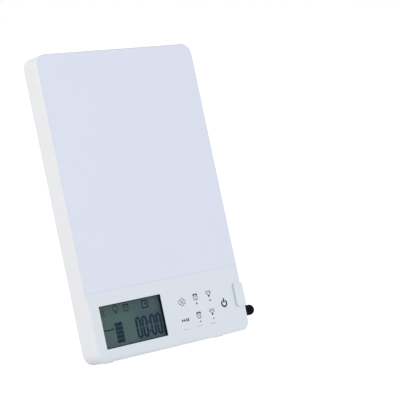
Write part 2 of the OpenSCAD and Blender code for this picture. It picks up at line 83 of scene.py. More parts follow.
# Back cover, with its screws, vents and inlet
COVER_T, COVER_IN = 2.2, WALL + 0.2
COVER_HALF, COVER_Z0, COVER_Z1 = HALF_W - COVER_IN, COVER_IN, PANEL_H - COVER_IN
COVER_RIBS, RIB_HALF, RIB_Y, RIB_T = (150, 200, 250), 85.3, 11.1, 1.6
SCREW_HEAD_R, SCREW_HEAD_T = 2.5, 1.6
SEAT_R, SCREW_HOLE_R = 2.7, 1.5
COVER_SCREWS = [(side * (HALF_W - 6.3), z) for side in (-1, 1) for z in (9.5, 66, 150, 222, 290.5)]
BRACKET_SCREWS = [(side * 31.4, SHAFT_Z + dz) for side in (-1, 1) for dz in (-6.8, 13)]
CLASP_SCREW = (HALF_W - 5.2, (CLASP_Z0 + CLASP_Z1) / 2)
INLET, INLET_Y0, INLET_HOLE_R = (-72.0, 24.0), 9.6, 4.5
VENT_W, VENT_L, VENT_Z0 = 2.4, 26.0, 262.0
VENT_COUNT, VENT_PITCH, VENT_MIDDLE = 11, 7.0, 45.0
VENT_PLACES = [side * VENT_MIDDLE + (step - (VENT_COUNT - 1) / 2) * VENT_PITCH
               for side in (-1, 1) for step in range(VENT_COUNT)]

# Leg, drawn folded, and the pan and bay that it folds into
LEG_W, LEG_L, LEG_T = 50.0, 92.0, 6.0
LEG_Y0, LEG_TIP_R, BARREL_R = SHAFT_Y + 1.4, 8.0, 5.0
POCKET_IN, POCKET_Z0, POCKET_DEEP, LEG_COVER_T = 3.0, SHAFT_Z + 9, 3.4, 1.4
PAD_L, PAD_IN, PAD_R = 14.0, 4.0, 4.0
LEG_SLOPE = radians(7)
PAN_HALF, PAN_Z0, PAN_Z1 = LEG_W / 2 + 0.8, SHAFT_Z - 8.6, SHAFT_Z + LEG_L + 1.8
PAN_Y, BAY_Y, BAY_Z1, PAN_WALL = LEG_Y0 - 0.5, SHAFT_Y - BARREL_R - 0.4, SHAFT_Z + BARREL_R + 1.3, 1.4
PAN_R, NOTCH_R = 8.0, 11.0

# Light emitters at the two sides, on boards that end this high
GUIDE_Y = 5.0
LED_BOARD_X, LED_BOARD_ENDS = HALF_W - WALL - 1.7, (STRIP_H + 1.2, PANEL_H - WALL - 1)
LED_COUNT, LED_Z0, LED_FREE = 22, STRIP_H + 10.2, 22    # LED_FREE: both ends without emitters together
LED_PITCH = (LED_BOARD_ENDS[1] - LED_BOARD_ENDS[0] - LED_FREE) / (LED_COUNT - 1)

# Place of the leaned panel in the frame
BASE_Z = FOOT_GAP + PANEL_T * sin(LEAN)
FRONT_Y = EDGE_R * (sin(LEAN) + cos(LEAN) - 1)
BACK_Y = PANEL_T * cos(LEAN) + PANEL_H * sin(LEAN)
PANEL_X = -(KNOB_X1 - HALF_W) / 2
STAND = (
    Matrix.Translation(Vector((PANEL_X, -(FRONT_Y + BACK_Y) / 2, BASE_Z)) * MM)
    @ Matrix.Rotation(-LEAN, 4, "X")
    @ Matrix.Scale(MM, 4)
)
OPENED = (
    STAND
    @ Matrix.Translation((0, SHAFT_Y, SHAFT_Z))
    @ Matrix.Rotation(-(pi / 2 - LEAN + LEG_SLOPE), 4, "X")
    @ Matrix.Translation((0, -SHAFT_Y, -SHAFT_Z))
)

# -------- outlines and mesh helpers


def bend(x, z, radius, start, end, steps, hollow=1):
    """Points (x, z, normal x, normal z) on an arc, angles in degrees counter-clockwise from the right.

    hollow is -1 where the arc curves into the outline that it belongs to.
    """
    angles = [radians(start + (end - start) * step / steps) for step in range(steps + 1)]
    return [(x + radius * cos(a), z + radius * sin(a), hollow * cos(a), hollow * sin(a))
            for a in angles]


def arc(x, z, radius, start, end, steps):
    """Points (x, z) on an arc, as bend() places them."""
    return [point[:2] for point in bend(x, z, radius, start, end, steps)]


def round_hole(x, z, radius, sides=32):
    """Points of a full circle, with their normals."""
    return bend(x, z, radius, 0, 360 - 360 / sides, sides - 1)


def outline(x0, z0, x1, z1, radii, steps=14, extra=()):
    """Points (x, z, normal x, normal z) round a rectangle, counter-clockwise from its lower right.

    radii is one radius, those of the lower and the upper corners, or those of the lower right,
    upper right, upper left and lower left one. extra holds heights at which the two sides get
    another point.
    """
    if not isinstance(radii, tuple):
        radii = (radii, radii)
    if len(radii) == 2:
        radii = (radii[0], radii[1], radii[1], radii[0])
    corners_in = ((x1, z0, -1, 1), (x1, z1, -1, -1), (x0, z1, 1, -1), (x0, z0, 1, 1))
    arcs = []
    for index, (x, z, inward_x, inward_z) in enumerate(corners_in):
        radius, start = radii[index], 90 * (index - 1)
        arcs.append(bend(x + inward_x * radius, z + inward_z * radius, radius, start, start + 90, steps))
    right = [(x1, height, 1, 0) for height in extra]
    left = [(x0, height, -1, 0) for height in reversed(extra)]
    return arcs[0] + right + arcs[1] + arcs[2] + left + arcs[3]


def grown(box, margin):
    """A box (x0, z0, x1, z1) with its edges moved out."""
    return (box[0] - margin, box[1] - margin, box[2] + margin, box[3] + margin)


def corners(x0, z0, x1, z1):
    """The four corners of a rectangle, counter-clockwise."""
    return [(x0, z0), (x1, z0), (x1, z1), (x0, z1)]


def rounding(radius, steps):
    """Pairs (depth below the face, way in from the side) along a rounded edge, from side to face."""
    angles = [radians(90 * step / steps) for step in range(steps + 1)]
    return [(radius * (1 - sin(a)), radius * (1 - cos(a))) for a in angles]


def ring(bm, points, depth, inset=0.0):
    """One ring of vertices at a depth, moved in from the outline; both may be functions of x and z."""
    verts = []
    for x, z, normal_x, normal_z in points:
        moved = inset(x, z) if callable(inset) else inset
        y = depth(x, z) if callable(depth) else depth
        verts.append(bm.verts.new((x - moved * normal_x, y, z - moved * normal_z)))
    return verts


def rings_along(bm, points, profile):
    """Rings of an outline at (depth, growth) pairs."""
    return [ring(bm, points, depth, -growth) for depth, growth in profile]


def rounded(bm, points, face_y, into, radius, steps=4):
    """Rings of a rounded edge, from side to face; into is 1 for a front face and -1 for a back one."""
    return [ring(bm, points, face_y + into * down, inward) for down, inward in rounding(radius, steps)]


def circle(bm, spot, along, radius, sides):
    """Ring of vertices round an axis, placed by spot; radius may be a function of the angle."""
    verts = []
    for side in range(sides):
        angle = 2 * pi * side / sides
        reach = radius(angle) if callable(radius) else radius
        verts.append(bm.verts.new(spot(along, reach * cos(angle), reach * sin(angle))))
    return verts


def bridge(bm, first, second):
    """Quads between two rings of as many vertices."""
    count = len(first)
    for index in range(count):
        following = (index + 1) % count
        bm.faces.new((first[index], first[following], second[following], second[index]))


def loft(bm, rings):
    """Skin over a row of rings."""
    for first, second in zip(rings, rings[1:]):
        bridge(bm, first, second)


def fan(bm, tip, verts):
    """Triangles from a tip to a ring."""
    for first, second in zip(verts, verts[1:] + verts[:1]):
        bm.faces.new((tip, first, second))


def fill(bm, rings):
    """Flat triangles inside the first ring and outside the others, which are its holes."""
    verts, loops = [], []
    for verts_of_ring in rings:
        loops.append(list(range(len(verts), len(verts) + len(verts_of_ring))))
        verts += verts_of_ring
    flat = [Vector((vert.co.x, vert.co.z)) for vert in verts]
    inside_all, nearest = 1, 1e-6
    _, _, triangles, sources, _, covers = delaunay_2d_cdt(flat, [], loops, inside_all, nearest)
    for triangle, cover in zip(triangles, covers):
        if list(cover) == [0]:
            bm.faces.new([verts[sources[index][0]] for index in triangle])


def solid(bm, rings):
    """Body over a row of rings, with both its ends closed."""
    loft(bm, rings)
    fill(bm, rings[-1:])
    fill(bm, rings[:1])


def block(bm, low, high):
    """Plain closed box between two corners."""
    for vert in bmesh.ops.create_cube(bm, size=1)["verts"]:
        for axis in range(3):
            vert.co[axis] = (low[axis] + high[axis]) / 2 + vert.co[axis] * (high[axis] - low[axis])


def on_shaft(along, across, up):
    """Place round the tilt shaft's axis."""
    return (along, SHAFT_Y + across, SHAFT_Z + up)


def lathe(bm, profile, sides, spot):
    """Turned body from (along, radius) pairs, which starts and ends on its axis or closes on itself."""
    rings = []
    for along, radius in profile:
        rings.append(circle(bm, spot, along, radius, sides) if radius else [bm.verts.new(spot(along, 0, 0))])
    if profile[0][1]:
        rings.append(rings[0])
    for first, second in zip(rings, rings[1:]):
        if len(first) == 1:
            fan(bm, first[0], second)
        elif len(second) == 1:
            fan(bm, second[0], first)
        else:
            bridge(bm, first, second)


def add_object(name, data):
    """Object of a mesh, light or camera, linked to the scene."""
    made = bpy.data.objects.new(name, data)
    bpy.context.scene.collection.objects.link(made)
    return made


def finish_mesh(name, bm, slot, nodes=(), body="lamp", materials=None, place=STAND, flats=True):
    """It has its slot's finish unless materials holds others, and flats keeps large flats flat.
    """
    bmesh.ops.transform(bm, matrix=place, verts=bm.verts)
    bmesh.ops.recalc_face_normals(bm, faces=bm.faces)
    mesh = bpy.data.meshes.new(name)
    bm.to_mesh(mesh)
    bm.free()
    for material in materials or [FINISH[slot]]:
        mesh.materials.append(material)
    mesh.shade_smooth()
    mesh.set_sharp_from_angle(angle=radians(40))
    piece = add_object(name, mesh)
    if flats:
        weighted = piece.modifiers.new("flat faces stay flat", "WEIGHTED_NORMAL")
        weighted.keep_sharp = True
        weighted.weight = 100
    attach(piece, body)
    if nodes:
        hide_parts(*nodes)


# -------- node trees


class Sketch:
    """A node tree being built."""

    def __init__(self, tree):
        self.tree = tree

    def feed(self, node, sockets):
        """Sets inputs, by name or number, to a constant, another node's output or a list of outputs."""
        for key, value in sockets.items():
            if isinstance(value, bpy.types.NodeSocket):
                value = [value]
            if isinstance(value, list):
                for output in value:
                    self.tree.links.new(output, node.inputs[key])
            else:
                node.inputs[key].default_value = value

    def node(self, kind, sockets=None, **values):
        """Adds a node with its settings and inputs."""
        node = self.tree.nodes.new(kind)
        for key, value in values.items():
            setattr(node, key, value)
        self.feed(node, sockets or {})
        return node

    def out(self, kind, sockets=None, **values):
        """Adds a node and gives its first output."""
        return self.node(kind, sockets, **values).outputs[0]

    def maths(self, operation, *values):
        """One sum of constants and outputs."""
        return self.out("ShaderNodeMath", dict(enumerate(values)), operation=operation)

    def vector(self, x=0.0, y=0.0, z=0.0):
        """Vector of three constants or outputs."""
        return self.out("ShaderNodeCombineXYZ", {"X": x, "Y": y, "Z": z})

    def own_axes(self):
        """The object's own coordinates, for textures."""
        return self.node("ShaderNodeTexCoord").outputs["Object"]


def new_group(name, kind, inputs, outputs):
    """Node group to sketch in; inputs and outputs map names to kinds of socket."""
    sketch = Sketch(bpy.data.node_groups.new(name, kind + "NodeTree"))
    for in_out, sockets in (("INPUT", inputs), ("OUTPUT", outputs)):
        for socket_name, socket_kind in sockets.items():
            sketch.tree.interface.new_socket(
                socket_name, in_out=in_out, socket_type="NodeSocket" + socket_kind)
    sketch.given = sketch.node("NodeGroupInput").outputs
    sketch.result = sketch.node("NodeGroupOutput")
    return sketch


def moulded_group():
    """Fine moulding grain: roughness and height that change over the surface, and a light tone drift."""
    sketch = new_group(
        "Moulded grain", "Shader",
        {"Grain per metre": "Float", "Roughness": "Float", "Roughness spread": "Float", "Tone": "Color",
         "Tone drift": "Float"},
        {"Color": "Color", "Roughness": "Float", "Height": "Float"})
    given, place = sketch.given, sketch.own_axes()
    grain = sketch.out("ShaderNodeTexNoise", {
        "Vector": place, "Scale": given["Grain per metre"], "Detail": 3})
    drift = sketch.out("ShaderNodeTexNoise", {"Vector": place, "Scale": 14, "Detail": 2})
    spread = sketch.maths("MULTIPLY_ADD", sketch.maths("SUBTRACT", grain, 0.5),
                          given["Roughness spread"], given["Roughness"])
    gain = sketch.maths("MULTIPLY_ADD", sketch.maths("SUBTRACT", drift, 0.5), given["Tone drift"], 1)
    tone = sketch.out("ShaderNodeHueSaturation", {"Color": given["Tone"], "Value": gain})
    sketch.feed(sketch.result, {"Color": tone, "Roughness": spread, "Height": grain})
    return sketch.tree


def wear_group():
    """Mask of touched and rubbed edges, from how pointed the surface is, broken up by noise."""
    sketch = new_group("Rubbed edges", "Shader", {"Amount": "Float", "Patches per metre": "Float"},
                       {"Mask": "Float"})
    patches = sketch.out("ShaderNodeTexNoise", {
        "Vector": sketch.own_axes(), "Scale": sketch.given["Patches per metre"]})
    pointed = sketch.node("ShaderNodeNewGeometry").outputs["Pointiness"]
    edge = sketch.out("ShaderNodeMapRange", {"Value": pointed, "From Min": 0.52, "From Max": 0.62})
    mask = sketch.maths("MULTIPLY", sketch.maths("MULTIPLY", edge, patches), sketch.given["Amount"])
    sketch.feed(sketch.result, {"Mask": mask})
    return sketch.tree


MOULDED = moulded_group()
RUBBED = wear_group()
MIX_SHARE, MIX_FIRST, MIX_SECOND, MIX_RESULT = 0, 6, 7, 2     # sockets of a colour mix

# -------- finishes


def srgb(red, green, blue):
    """Linear colour, with alpha, of an sRGB one given as 0 to 255."""
    linear = [part / 255 / 12.92 if part / 255 <= 0.04045 else ((part / 255 + 0.055) / 1.055) ** 2.4
              for part in (red, green, blue)]
    return (*linear, 1)


def new_material(name):
    """Material with the sketch of its tree and its surface shader."""
    material = bpy.data.materials.new(name)
    material.use_nodes = True
    return material, Sketch(material.node_tree), material.node_tree.nodes["Principled BSDF"]


def grained(sketch, tone, roughness, spread, grain, drift):
    """The moulding grain in a material."""
    return sketch.node("ShaderNodeGroup", {
        "Grain per metre": grain, "Roughness": roughness, "Roughness spread": spread, "Tone": tone,
        "Tone drift": drift}, node_tree=MOULDED)


def moulded(name, tone, roughness, grain=2600.0, bump=0.04, drift=0.03, wear=0.3, worn_tone=None, **shader):
    """Moulded plastic, rubber, print or cast surface: grain, tone drift and rubbed edges."""
    material, sketch, surface = new_material(name)
    tone = srgb(*tone)
    worn = srgb(*worn_tone) if worn_tone else [min(1, part * 1.06) for part in tone]
    finish = grained(sketch, tone, roughness, 0.08, grain, drift).outputs
    mask = sketch.out("ShaderNodeGroup", {"Amount": wear, "Patches per metre": 220.0}, node_tree=RUBBED)
    mixed = sketch.node("ShaderNodeMix", {
        MIX_SHARE: mask, MIX_FIRST: finish["Color"], MIX_SECOND: tuple(worn)}, data_type="RGBA")
    relief = sketch.out("ShaderNodeBump", {"Strength": bump, "Distance": 0.0002, "Height": finish["Height"]})
    sketch.feed(surface, {"Base Color": mixed.outputs[MIX_RESULT], "Roughness": finish["Roughness"],
                          "Normal": relief})
    sketch.feed(surface, {key.replace("_", " "): value for key, value in shader.items()})
    return material


def brushed(name, tone, roughness, grain):
    """Bare metal with fine drawn lines: grain holds their frequency along the frame's three axes."""
    material, sketch, surface = new_material(name)
    stretched = sketch.out("ShaderNodeMapping", {"Vector": sketch.own_axes(), "Scale": grain})
    lines = sketch.out("ShaderNodeTexNoise", {"Vector": stretched, "Scale": 1, "Detail": 3})
    finish = grained(sketch, srgb(*tone), roughness, 0.1, 400.0, 0.12).outputs
    worn = sketch.maths("MULTIPLY_ADD", lines, 0.12, finish["Roughness"])
    relief = sketch.out("ShaderNodeBump", {"Strength": 0.1, "Distance": 0.00005, "Height": lines})
    sketch.feed(surface, {"Metallic": 1, "Base Color": finish["Color"], "Roughness": worn, "Normal": relief})
    return material


def clear_pane():
    """Thin clear pane: mostly see-through, with the gloss of its front."""
    material, sketch, surface = new_material("clear pane")
    finish = grained(sketch, (0.02, 0.03, 0.03, 1), 0.06, 0.05, 90.0, 0.02).outputs
    sketch.feed(surface, {"Alpha": 0.12, "IOR": 1.49, "Base Color": finish["Color"],
                          "Roughness": finish["Roughness"]})
    return material


def display_ground():
    """Grey-green display ground: bluer behind the digits, with painted shade of the recess towards its top
    and right side.
    """
    base, blue, top_shade, side_shade = (99, 126, 125), (88, 111, 122), 0.88, 0.72
    material = moulded("display ground", base, 0.35, bump=0.01, drift=0.1, wear=0, Specular_IOR_Level=0.1)
    sketch = Sketch(material.node_tree)
    place = sketch.node("ShaderNodeSeparateXYZ", {0: sketch.own_axes()}).outputs

    def along(axis, start, end, low, high):
        """Smooth change from low to high between two places on the face, in mm along an axis."""
        ends = [(STAND @ Vector([value if index == axis else 0 for index in range(3)]))[axis]
                for value in (start, end)]
        return sketch.out("ShaderNodeMapRange", {
            "Value": place[axis], "From Min": ends[0], "From Max": ends[1], "To Min": low, "To Max": high},
            interpolation_type="SMOOTHSTEP")

    blueness = sketch.maths("MULTIPLY", along(0, -50, -36, 0, 1), along(2, 36, 46, 1, 0.3))
    # Painted shade of the recess: the ground dims towards its top and its right side
    shade = sketch.maths("MULTIPLY", along(2, 38, 47, 1, top_shade), along(0, -17, -9, 1, side_shade))
    tinted = sketch.node("ShaderNodeMix", {
        MIX_SHARE: blueness, MIX_FIRST: srgb(*base), MIX_SECOND: srgb(*blue)}, data_type="RGBA")
    painted_shade_tone = sketch.out("ShaderNodeHueSaturation", {"Color": tinted.outputs[MIX_RESULT], "Value": shade})
    finish = next(node for node in sketch.tree.nodes if node.type == "GROUP" and node.node_tree == MOULDED)
    sketch.feed(finish, {"Tone": painted_shade_tone})
    return material


def key_ink(name, tone):
    """Print of the touch keys."""
    return moulded(name, tone, 0.5, bump=0.02, drift=0.05, wear=0)


def display_ink(name, tone):
    """Dark mark of the display."""
    return moulded(name, tone, 0.4, bump=0.0, drift=0.05, wear=0, Specular_IOR_Level=0.1)


KEY_INK = key_ink("dark key print", (46, 46, 60))
PETAL_INK = key_ink("grey key print", (64, 65, 77))
DASH_INK = key_ink("pale key dashes", (158, 165, 176))
POWER_INK = key_ink("black key print", (6, 8, 18))
DISPLAY_INK = display_ink("display segments", (19, 45, 67))
DISPLAY_FAINT = display_ink("display faint marks", (27, 48, 57))
DISPLAY_BORDER = display_ink("printed display border", (26, 44, 58))
# Deeper tone of the clasp lip's edges: partly the frosted plastic's own edge tone, partly painted shade where
# the lip stands off the face
CLASP_EDGE_TONE_AND_SHADE = moulded("frosted clasp edge with painted shade", (180, 197, 205), 0.4, bump=0.02, drift=0.05, wear=0)
CLEAR_FOOT = moulded("clear soft foot", (236, 238, 238), 0.5, bump=0.05, Alpha=0.25)
FINISH = {
    "housing_plastic": moulded("white shell", (227, 232.5, 239), 0.42, bump=0.03, drift=0.02),
    "clasp_plastic": moulded("frosted clasp", (229, 234, 236), 0.3, bump=0.02, drift=0.05),
    "cover_plastic": moulded("white back cover", (226, 229, 232), 0.55, grain=1800, bump=0.12),
    "leg_plastic": moulded("white leg", (226, 229, 232), 0.5, grain=1800, bump=0.1, wear=0.5),
    "diffuser_acrylic": moulded("opal diffuser", (227, 231, 246), 0.38, bump=0.015, drift=0.01, wear=0),
    "knob_black": moulded("black knob", (12, 13, 21), 0.5, bump=0.06, drift=0.1, worn_tone=(22, 22, 29),
                          Specular_IOR_Level=0.05),
    "display_window": clear_pane(),
    "display_glass": display_ground(),
    "contact_rubber": moulded("dark gasket", (22, 34, 46), 0.5, bump=0.05, drift=0.1, wear=0,
                              Specular_IOR_Level=0.1),
    "foot_rubber": moulded("pale rubber", (196, 199, 202), 0.75, grain=1400, bump=0.15, drift=0.06),
    "chip_black": moulded("black socket", (26, 26, 28), 0.45, bump=0.05, drift=0.1),
    "bracket_plastic": moulded("grey bracket", (176, 180, 184), 0.5, bump=0.08, drift=0.05),
    "foam_grey": moulded("grey foam", (120, 122, 126), 0.9, grain=900, bump=0.5, drift=0.2),
    "capacitor_sleeve": moulded("capacitor sleeve", (38, 48, 96), 0.3, bump=0.03, drift=0.08),
    "ferrite": moulded("ferrite", (52, 52, 56), 0.7, grain=1600, bump=0.3, drift=0.2),
    "lead_insulation": moulded("lead insulation", (172, 40, 36), 0.4, bump=0.03, drift=0.06),
    "light_film": moulded("frosted film", (236, 236, 240), 0.6, bump=0.02, drift=0.02, wear=0),
    "light_guide_acrylic": moulded("light guide", (206, 224, 232), 0.12, grain=700, bump=0.05, wear=0),
    "reflector_film": moulded("white reflector", (240, 240, 240), 0.35, bump=0.02, drift=0.02, wear=0),
    "led_board_white": moulded("white light board", (228, 228, 222), 0.35, grain=800, bump=0.05, drift=0.04),
    "led_phosphor": moulded("light emitter", (232, 214, 120), 0.45, grain=1500, bump=0.1, drift=0.1, wear=0),
    "washer_fibre": moulded("fibre washer", (186, 158, 118), 0.8, grain=1200, bump=0.4, drift=0.2),
    "circuit_board": moulded("circuit board", (32, 96, 66), 0.35, grain=500, bump=0.1, drift=0.15),
    "screw_steel": brushed("screw steel", (188, 190, 194), 0.34, (900, 900, 900)),
    "shaft_steel": brushed("shaft steel", (196, 198, 202), 0.28, (60, 1800, 1800)),
    "aluminium_sheet": brushed("aluminium sheet", (202, 204, 206), 0.38, (40, 1500, 1500)),
    "inlet_brass": brushed("brass", (212, 176, 96), 0.3, (800, 120, 800)),
}
for part in frame["record"]["subparts"]:
    for slot in frame["nodes"][part["node"]].material_slots:
        slot.material = FINISH[part["material_slot"]]

# -------- housing


def ease(value, low, high):
    """Smooth way from 0 at low to 1 at high."""
    share = min(1.0, max(0.0, (value - low) / (high - low)))
    return share * share * (3 - 2 * share)


def front_round(x, z):
    """Rounding of the front edge: soft at the left of the strip, tight to its right and above it."""
    below_seam = 0.5
    strip_share = ease(-z, below_seam - STRIP_H, -SOFT_TOP)
    left_share = ease(-x, CORNER_R - HALF_W, HALF_W - CORNER_R)
    return SIDE_ROUND + (STRIP_ROUND - SIDE_ROUND) * strip_share * left_share


def make_housing():
    """White moulding with its two openings, drawn as one closed skin."""
    bm = bmesh.new()
    change_steps = 8
    heights = [SOFT_TOP + (STRIP_H - SOFT_TOP) * step / change_steps for step in range(change_steps + 1)]
    outer = outline(-HALF_W, 0, HALF_W, PANEL_H, (LOWER_RIGHT_R,) + (CORNER_R,) * 3, extra=heights)
    inner_edge, back_round, fillet_steps = 0.3, 0.6, 8
    rings = rings_along(bm, outer, (
        (LEDGE_Y, -WALL), (PANEL_T - inner_edge, -WALL), (PANEL_T, inner_edge - WALL)))
    rings += rounded(bm, outer, PANEL_T, -1, back_round)[::-1]
    for down, inward in rounding(1, fillet_steps):
        rings.append(ring(
            bm, outer,
            lambda x, z, share=down: front_round(x, z) * share,
            lambda x, z, share=inward: front_round(x, z) * share))
    loft(bm, rings)

    top_r, seat_r, seat_edge = CORNER_R - RIM, 0.4, 0.06
    seat_y = DIFFUSER_T + 0.1
    seat = outline(RIM - HALF_W, STRIP_H, HALF_W - RIM, PANEL_H - RIM, (seat_r, top_r))
    ledge = outline(LEDGE_IN - HALF_W, STRIP_H + LEDGE_UP, HALF_W - LEDGE_IN, PANEL_H - LEDGE_IN, LEDGE_R)
    window = outline(*WINDOW, 0.5, steps=4)
    rebate = outline(*grown(WINDOW, WINDOW_REBATE), 0.5, steps=4)
    window_edge = 0.12
    openings = []
    for upper, upper_profile, lower, lower_y in (
            (seat, ((0, seat_edge), (seat_edge, 0), (seat_y, 0)), ledge, seat_y),
            (window, ((0, window_edge), (window_edge / 3, window_edge / 3), (window_edge, 0), (GASKET_Y, 0),
                      (GASKET_Y, GASKET_W), (WINDOW_DEPTH, GASKET_W)), rebate, WINDOW_DEPTH)):
        walls = rings_along(bm, upper, upper_profile)
        walls_below = rings_along(bm, lower, ((lower_y, 0), (LEDGE_Y, 0)))
        loft(bm, walls)
        bridge(bm, walls[-1], walls_below[0])
        loft(bm, walls_below)
        openings.append((walls[0], walls_below[-1]))
    fill(bm, [rings[-1]] + [front for front, _ in openings])
    fill(bm, [rings[0]] + [back for _, back in openings])
    finish_mesh("housing_shell", bm, "housing_plastic", ("front_housing",))


def make_diffuser():
    """Opal panel just inside the white rim, with a fine rounded front edge."""
    bm = bmesh.new()
    margin, lower_r, edge = RIM + DIFFUSER_GAP, 0.5, 0.12
    top_r = CORNER_R - margin
    shape = outline(margin - HALF_W, STRIP_H + DIFFUSER_GAP, HALF_W - margin, PANEL_H - margin,
                    (lower_r, top_r))
    solid(bm, [ring(bm, shape, DIFFUSER_T)] + rounded(bm, shape, 0, 1, edge))
    finish_mesh("opal_diffuser", bm, "diffuser_acrylic", ("diffuser_panel",))


make_housing()
make_diffuser()

# -------- display and key print


class Ink:
    """Thin print on one surface: lines, dots and filled shapes between two depths."""

    def __init__(self, top, bottom, width):
        self.bm = bmesh.new()
        self.top, self.bottom, self.width = top, bottom, width
        self.at((0, 0))

    def at(self, centre, scale=1.0):
        """Sets where the next marks are drawn and how large they are."""
        self.centre, self.scale = centre, scale

    def placed(self, points):
        """Marks' points (x, z) on the surface."""
        return [(self.centre[0] + x * self.scale, self.centre[1] + z * self.scale) for x, z in points]

    def line(self, points, width=None, closed=False):
        """Line of an even width along points."""
        points, width = self.placed(points), width or self.width
        count = len(points)
        rails = []
        for index, point in enumerate(points):
            before = points[(index - 1) % count] if closed or index else point
            after = points[(index + 1) % count] if closed or index < count - 1 else point
            incoming = Vector((point[0] - before[0], point[1] - before[1]))
            outgoing = Vector((after[0] - point[0], after[1] - point[1]))
            incoming = (incoming if incoming.length else outgoing).normalized()
            outgoing = (outgoing if outgoing.length else incoming).normalized()
            along = (incoming + outgoing).normalized()
            side = Vector((-along.y, along.x)) * (width / 2 / max(0.5, along.dot(incoming)))
            ends = ((1, self.top), (-1, self.top), (-1, self.bottom), (1, self.bottom))
            rails.append([self.bm.verts.new((point[0] + sign * side.x, depth, point[1] + sign * side.y))
                          for sign, depth in ends])
        loft(self.bm, rails + rails[:1] if closed else rails)
        if not closed:
            self.bm.faces.new(rails[0])
            self.bm.faces.new(rails[-1][::-1])

    def shape(self, points):
        """Filled shape."""
        upper, lower = [[self.bm.verts.new((x, depth, z)) for x, z in self.placed(points)]
                        for depth in (self.top, self.bottom)]
        self.bm.faces.new(upper)
        self.bm.faces.new(lower[::-1])
        bridge(self.bm, lower, upper)

    def dot(self, centre, radius, sides=16):
        """Round dot at a place of the surface."""
        self.at(centre)
        self.shape(arc(0, 0, radius, 0, 360 - 360 / sides, sides - 1))

    def finish(self, name, material, slot):
        """Makes the print a piece of its own."""
        finish_mesh(name, self.bm, slot, materials=[material], flats=False)


def face_point(from_left, from_bottom):
    """Place on the face, given from the panel's left side and lower end as measured in the picture."""
    return (from_left - FACE_MIDDLE, from_bottom)


def draw_alarm_clock(ink, centre, scale=1.0):
    """Round clock with two solid bells and two feet."""
    middle_z, bell_reach, bell_r, bell_turn, bell_half = -0.2, 2.95, 1.25, 39, 95
    ink.at(centre, scale)
    ink.line(arc(0, middle_z, 2.6, 0, 345, 23), closed=True)
    ink.line([(0, 1.3), (0, middle_z), (1.0, middle_z)])
    for side in (-1, 1):
        towards = 90 - side * bell_turn
        turn = radians(towards)
        ink.shape(arc(bell_reach * cos(turn), bell_reach * sin(turn) + middle_z, bell_r,
                      towards - bell_half, towards + bell_half, 10))
        ink.line([(side * 1.4, -2.3), (side * 2.2, -3.3)])
    ink.line([(-0.7, 3.1), (0.7, 3.1)])


def draw_bulb(ink, centre, scale=1.0, glass_r=1.9, rays=True):
    """Bulb with a solid screw base, and short rays at both sides of its top."""
    middle_z = 0.2
    ink.at(centre, scale)
    ink.line([(0.7, -1.9)] + arc(0, middle_z, glass_r, -48, 228, 20) + [(-0.7, -1.9)])
    ink.shape([(-1.15, -1.6), (-1.0, -3.2), (-0.45, -3.8), (0.45, -3.8), (1.0, -3.2), (1.15, -1.6)])
    if rays:
        for angle in (5, 42, 138, 175):
            turn = radians(angle)
            ink.line([(reach * cos(turn), middle_z + reach * sin(turn)) for reach in (2.6, 3.7)],
                     ink.width * 1.2)


def draw_blossom(ink, centre):
    """Four round petals round a small ring, for the sleep sound key."""
    petal_r, petal_half, across, up = 2.0, 115, 2.4, 1.75
    ink.at(centre)
    for towards in (0, 90, 180, 270):
        turn = radians(towards)
        ink.line(arc(across * cos(turn), up * sin(turn), petal_r,
                     towards - petal_half, towards + petal_half, 16))
    ink.line(arc(0, 0, 0.9, 0, 330, 11), closed=True)


def draw_skip(ink, centre):
    """Two solid arrowheads and two bars, a plain step-on symbol."""
    half, arrow_l = 1.5, 2.6
    ink.at(centre)
    for shift in (-4.8, -2.0):
        ink.shape([(shift, half), (shift, -half), (shift + arrow_l, 0)])
    for shift in (1.7, 3.9):
        ink.line([(shift, half), (shift, -half)], ink.width * 2.2)


def draw_power(ink, centre):
    """Open ring with a bar through its gap."""
    ink.at(centre)
    ink.line(arc(0, -0.5, 3.2, 128, 412, 30))
    ink.line([(0, 4.7), (0, 0.4)], ink.width * 1.1)


def make_key_print():
    """Dark symbols of the touch keys, with the indicator dots and short dashes below them."""
    ink = Ink(*PRINT_DEPTHS, 0.66)
    draw_skip(ink, face_point(116.4, 22.9))
    upper_dot_r, lower_dot_r = 0.98, 0.8
    for clock, bulb, clock_dot, bulb_dot, dot_r in (
            ((134.8, 43.3), (152.8, 44.2), (135.1, 36.8), (153.3, 37.0), upper_dot_r),
            ((134.8, 24.9), (152.8, 25.7), (135.3, 18.4), (153.1, 18.5), lower_dot_r)):
        draw_alarm_clock(ink, face_point(*clock))
        draw_bulb(ink, face_point(*bulb))
        ink.dot(face_point(*clock_dot), dot_r)
        ink.dot(face_point(*bulb_dot), dot_r)
    ink.finish("key_print", KEY_INK, "housing_plastic")

    petals = Ink(*PRINT_DEPTHS, 0.55)
    draw_blossom(petals, face_point(116.5, 41.1))
    petals.finish("petal_key_print", PETAL_INK, "housing_plastic")

    power = Ink(*PRINT_DEPTHS, 1.75)
    draw_power(power, face_point(171.0, 31.4))
    power.finish("power_key_print", POWER_INK, "housing_plastic")

    dashes = Ink(*PRINT_DEPTHS, 0.4)
    dash_half = 3.6
    for place in ((114.7, 13.9), (133.2, 14.1), (150.9, 13.9)):
        dashes.at(face_point(*place))
        dashes.line([(-dash_half, 0), (dash_half, 0)])
    dashes.finish("key_dashes", DASH_INK, "housing_plastic")


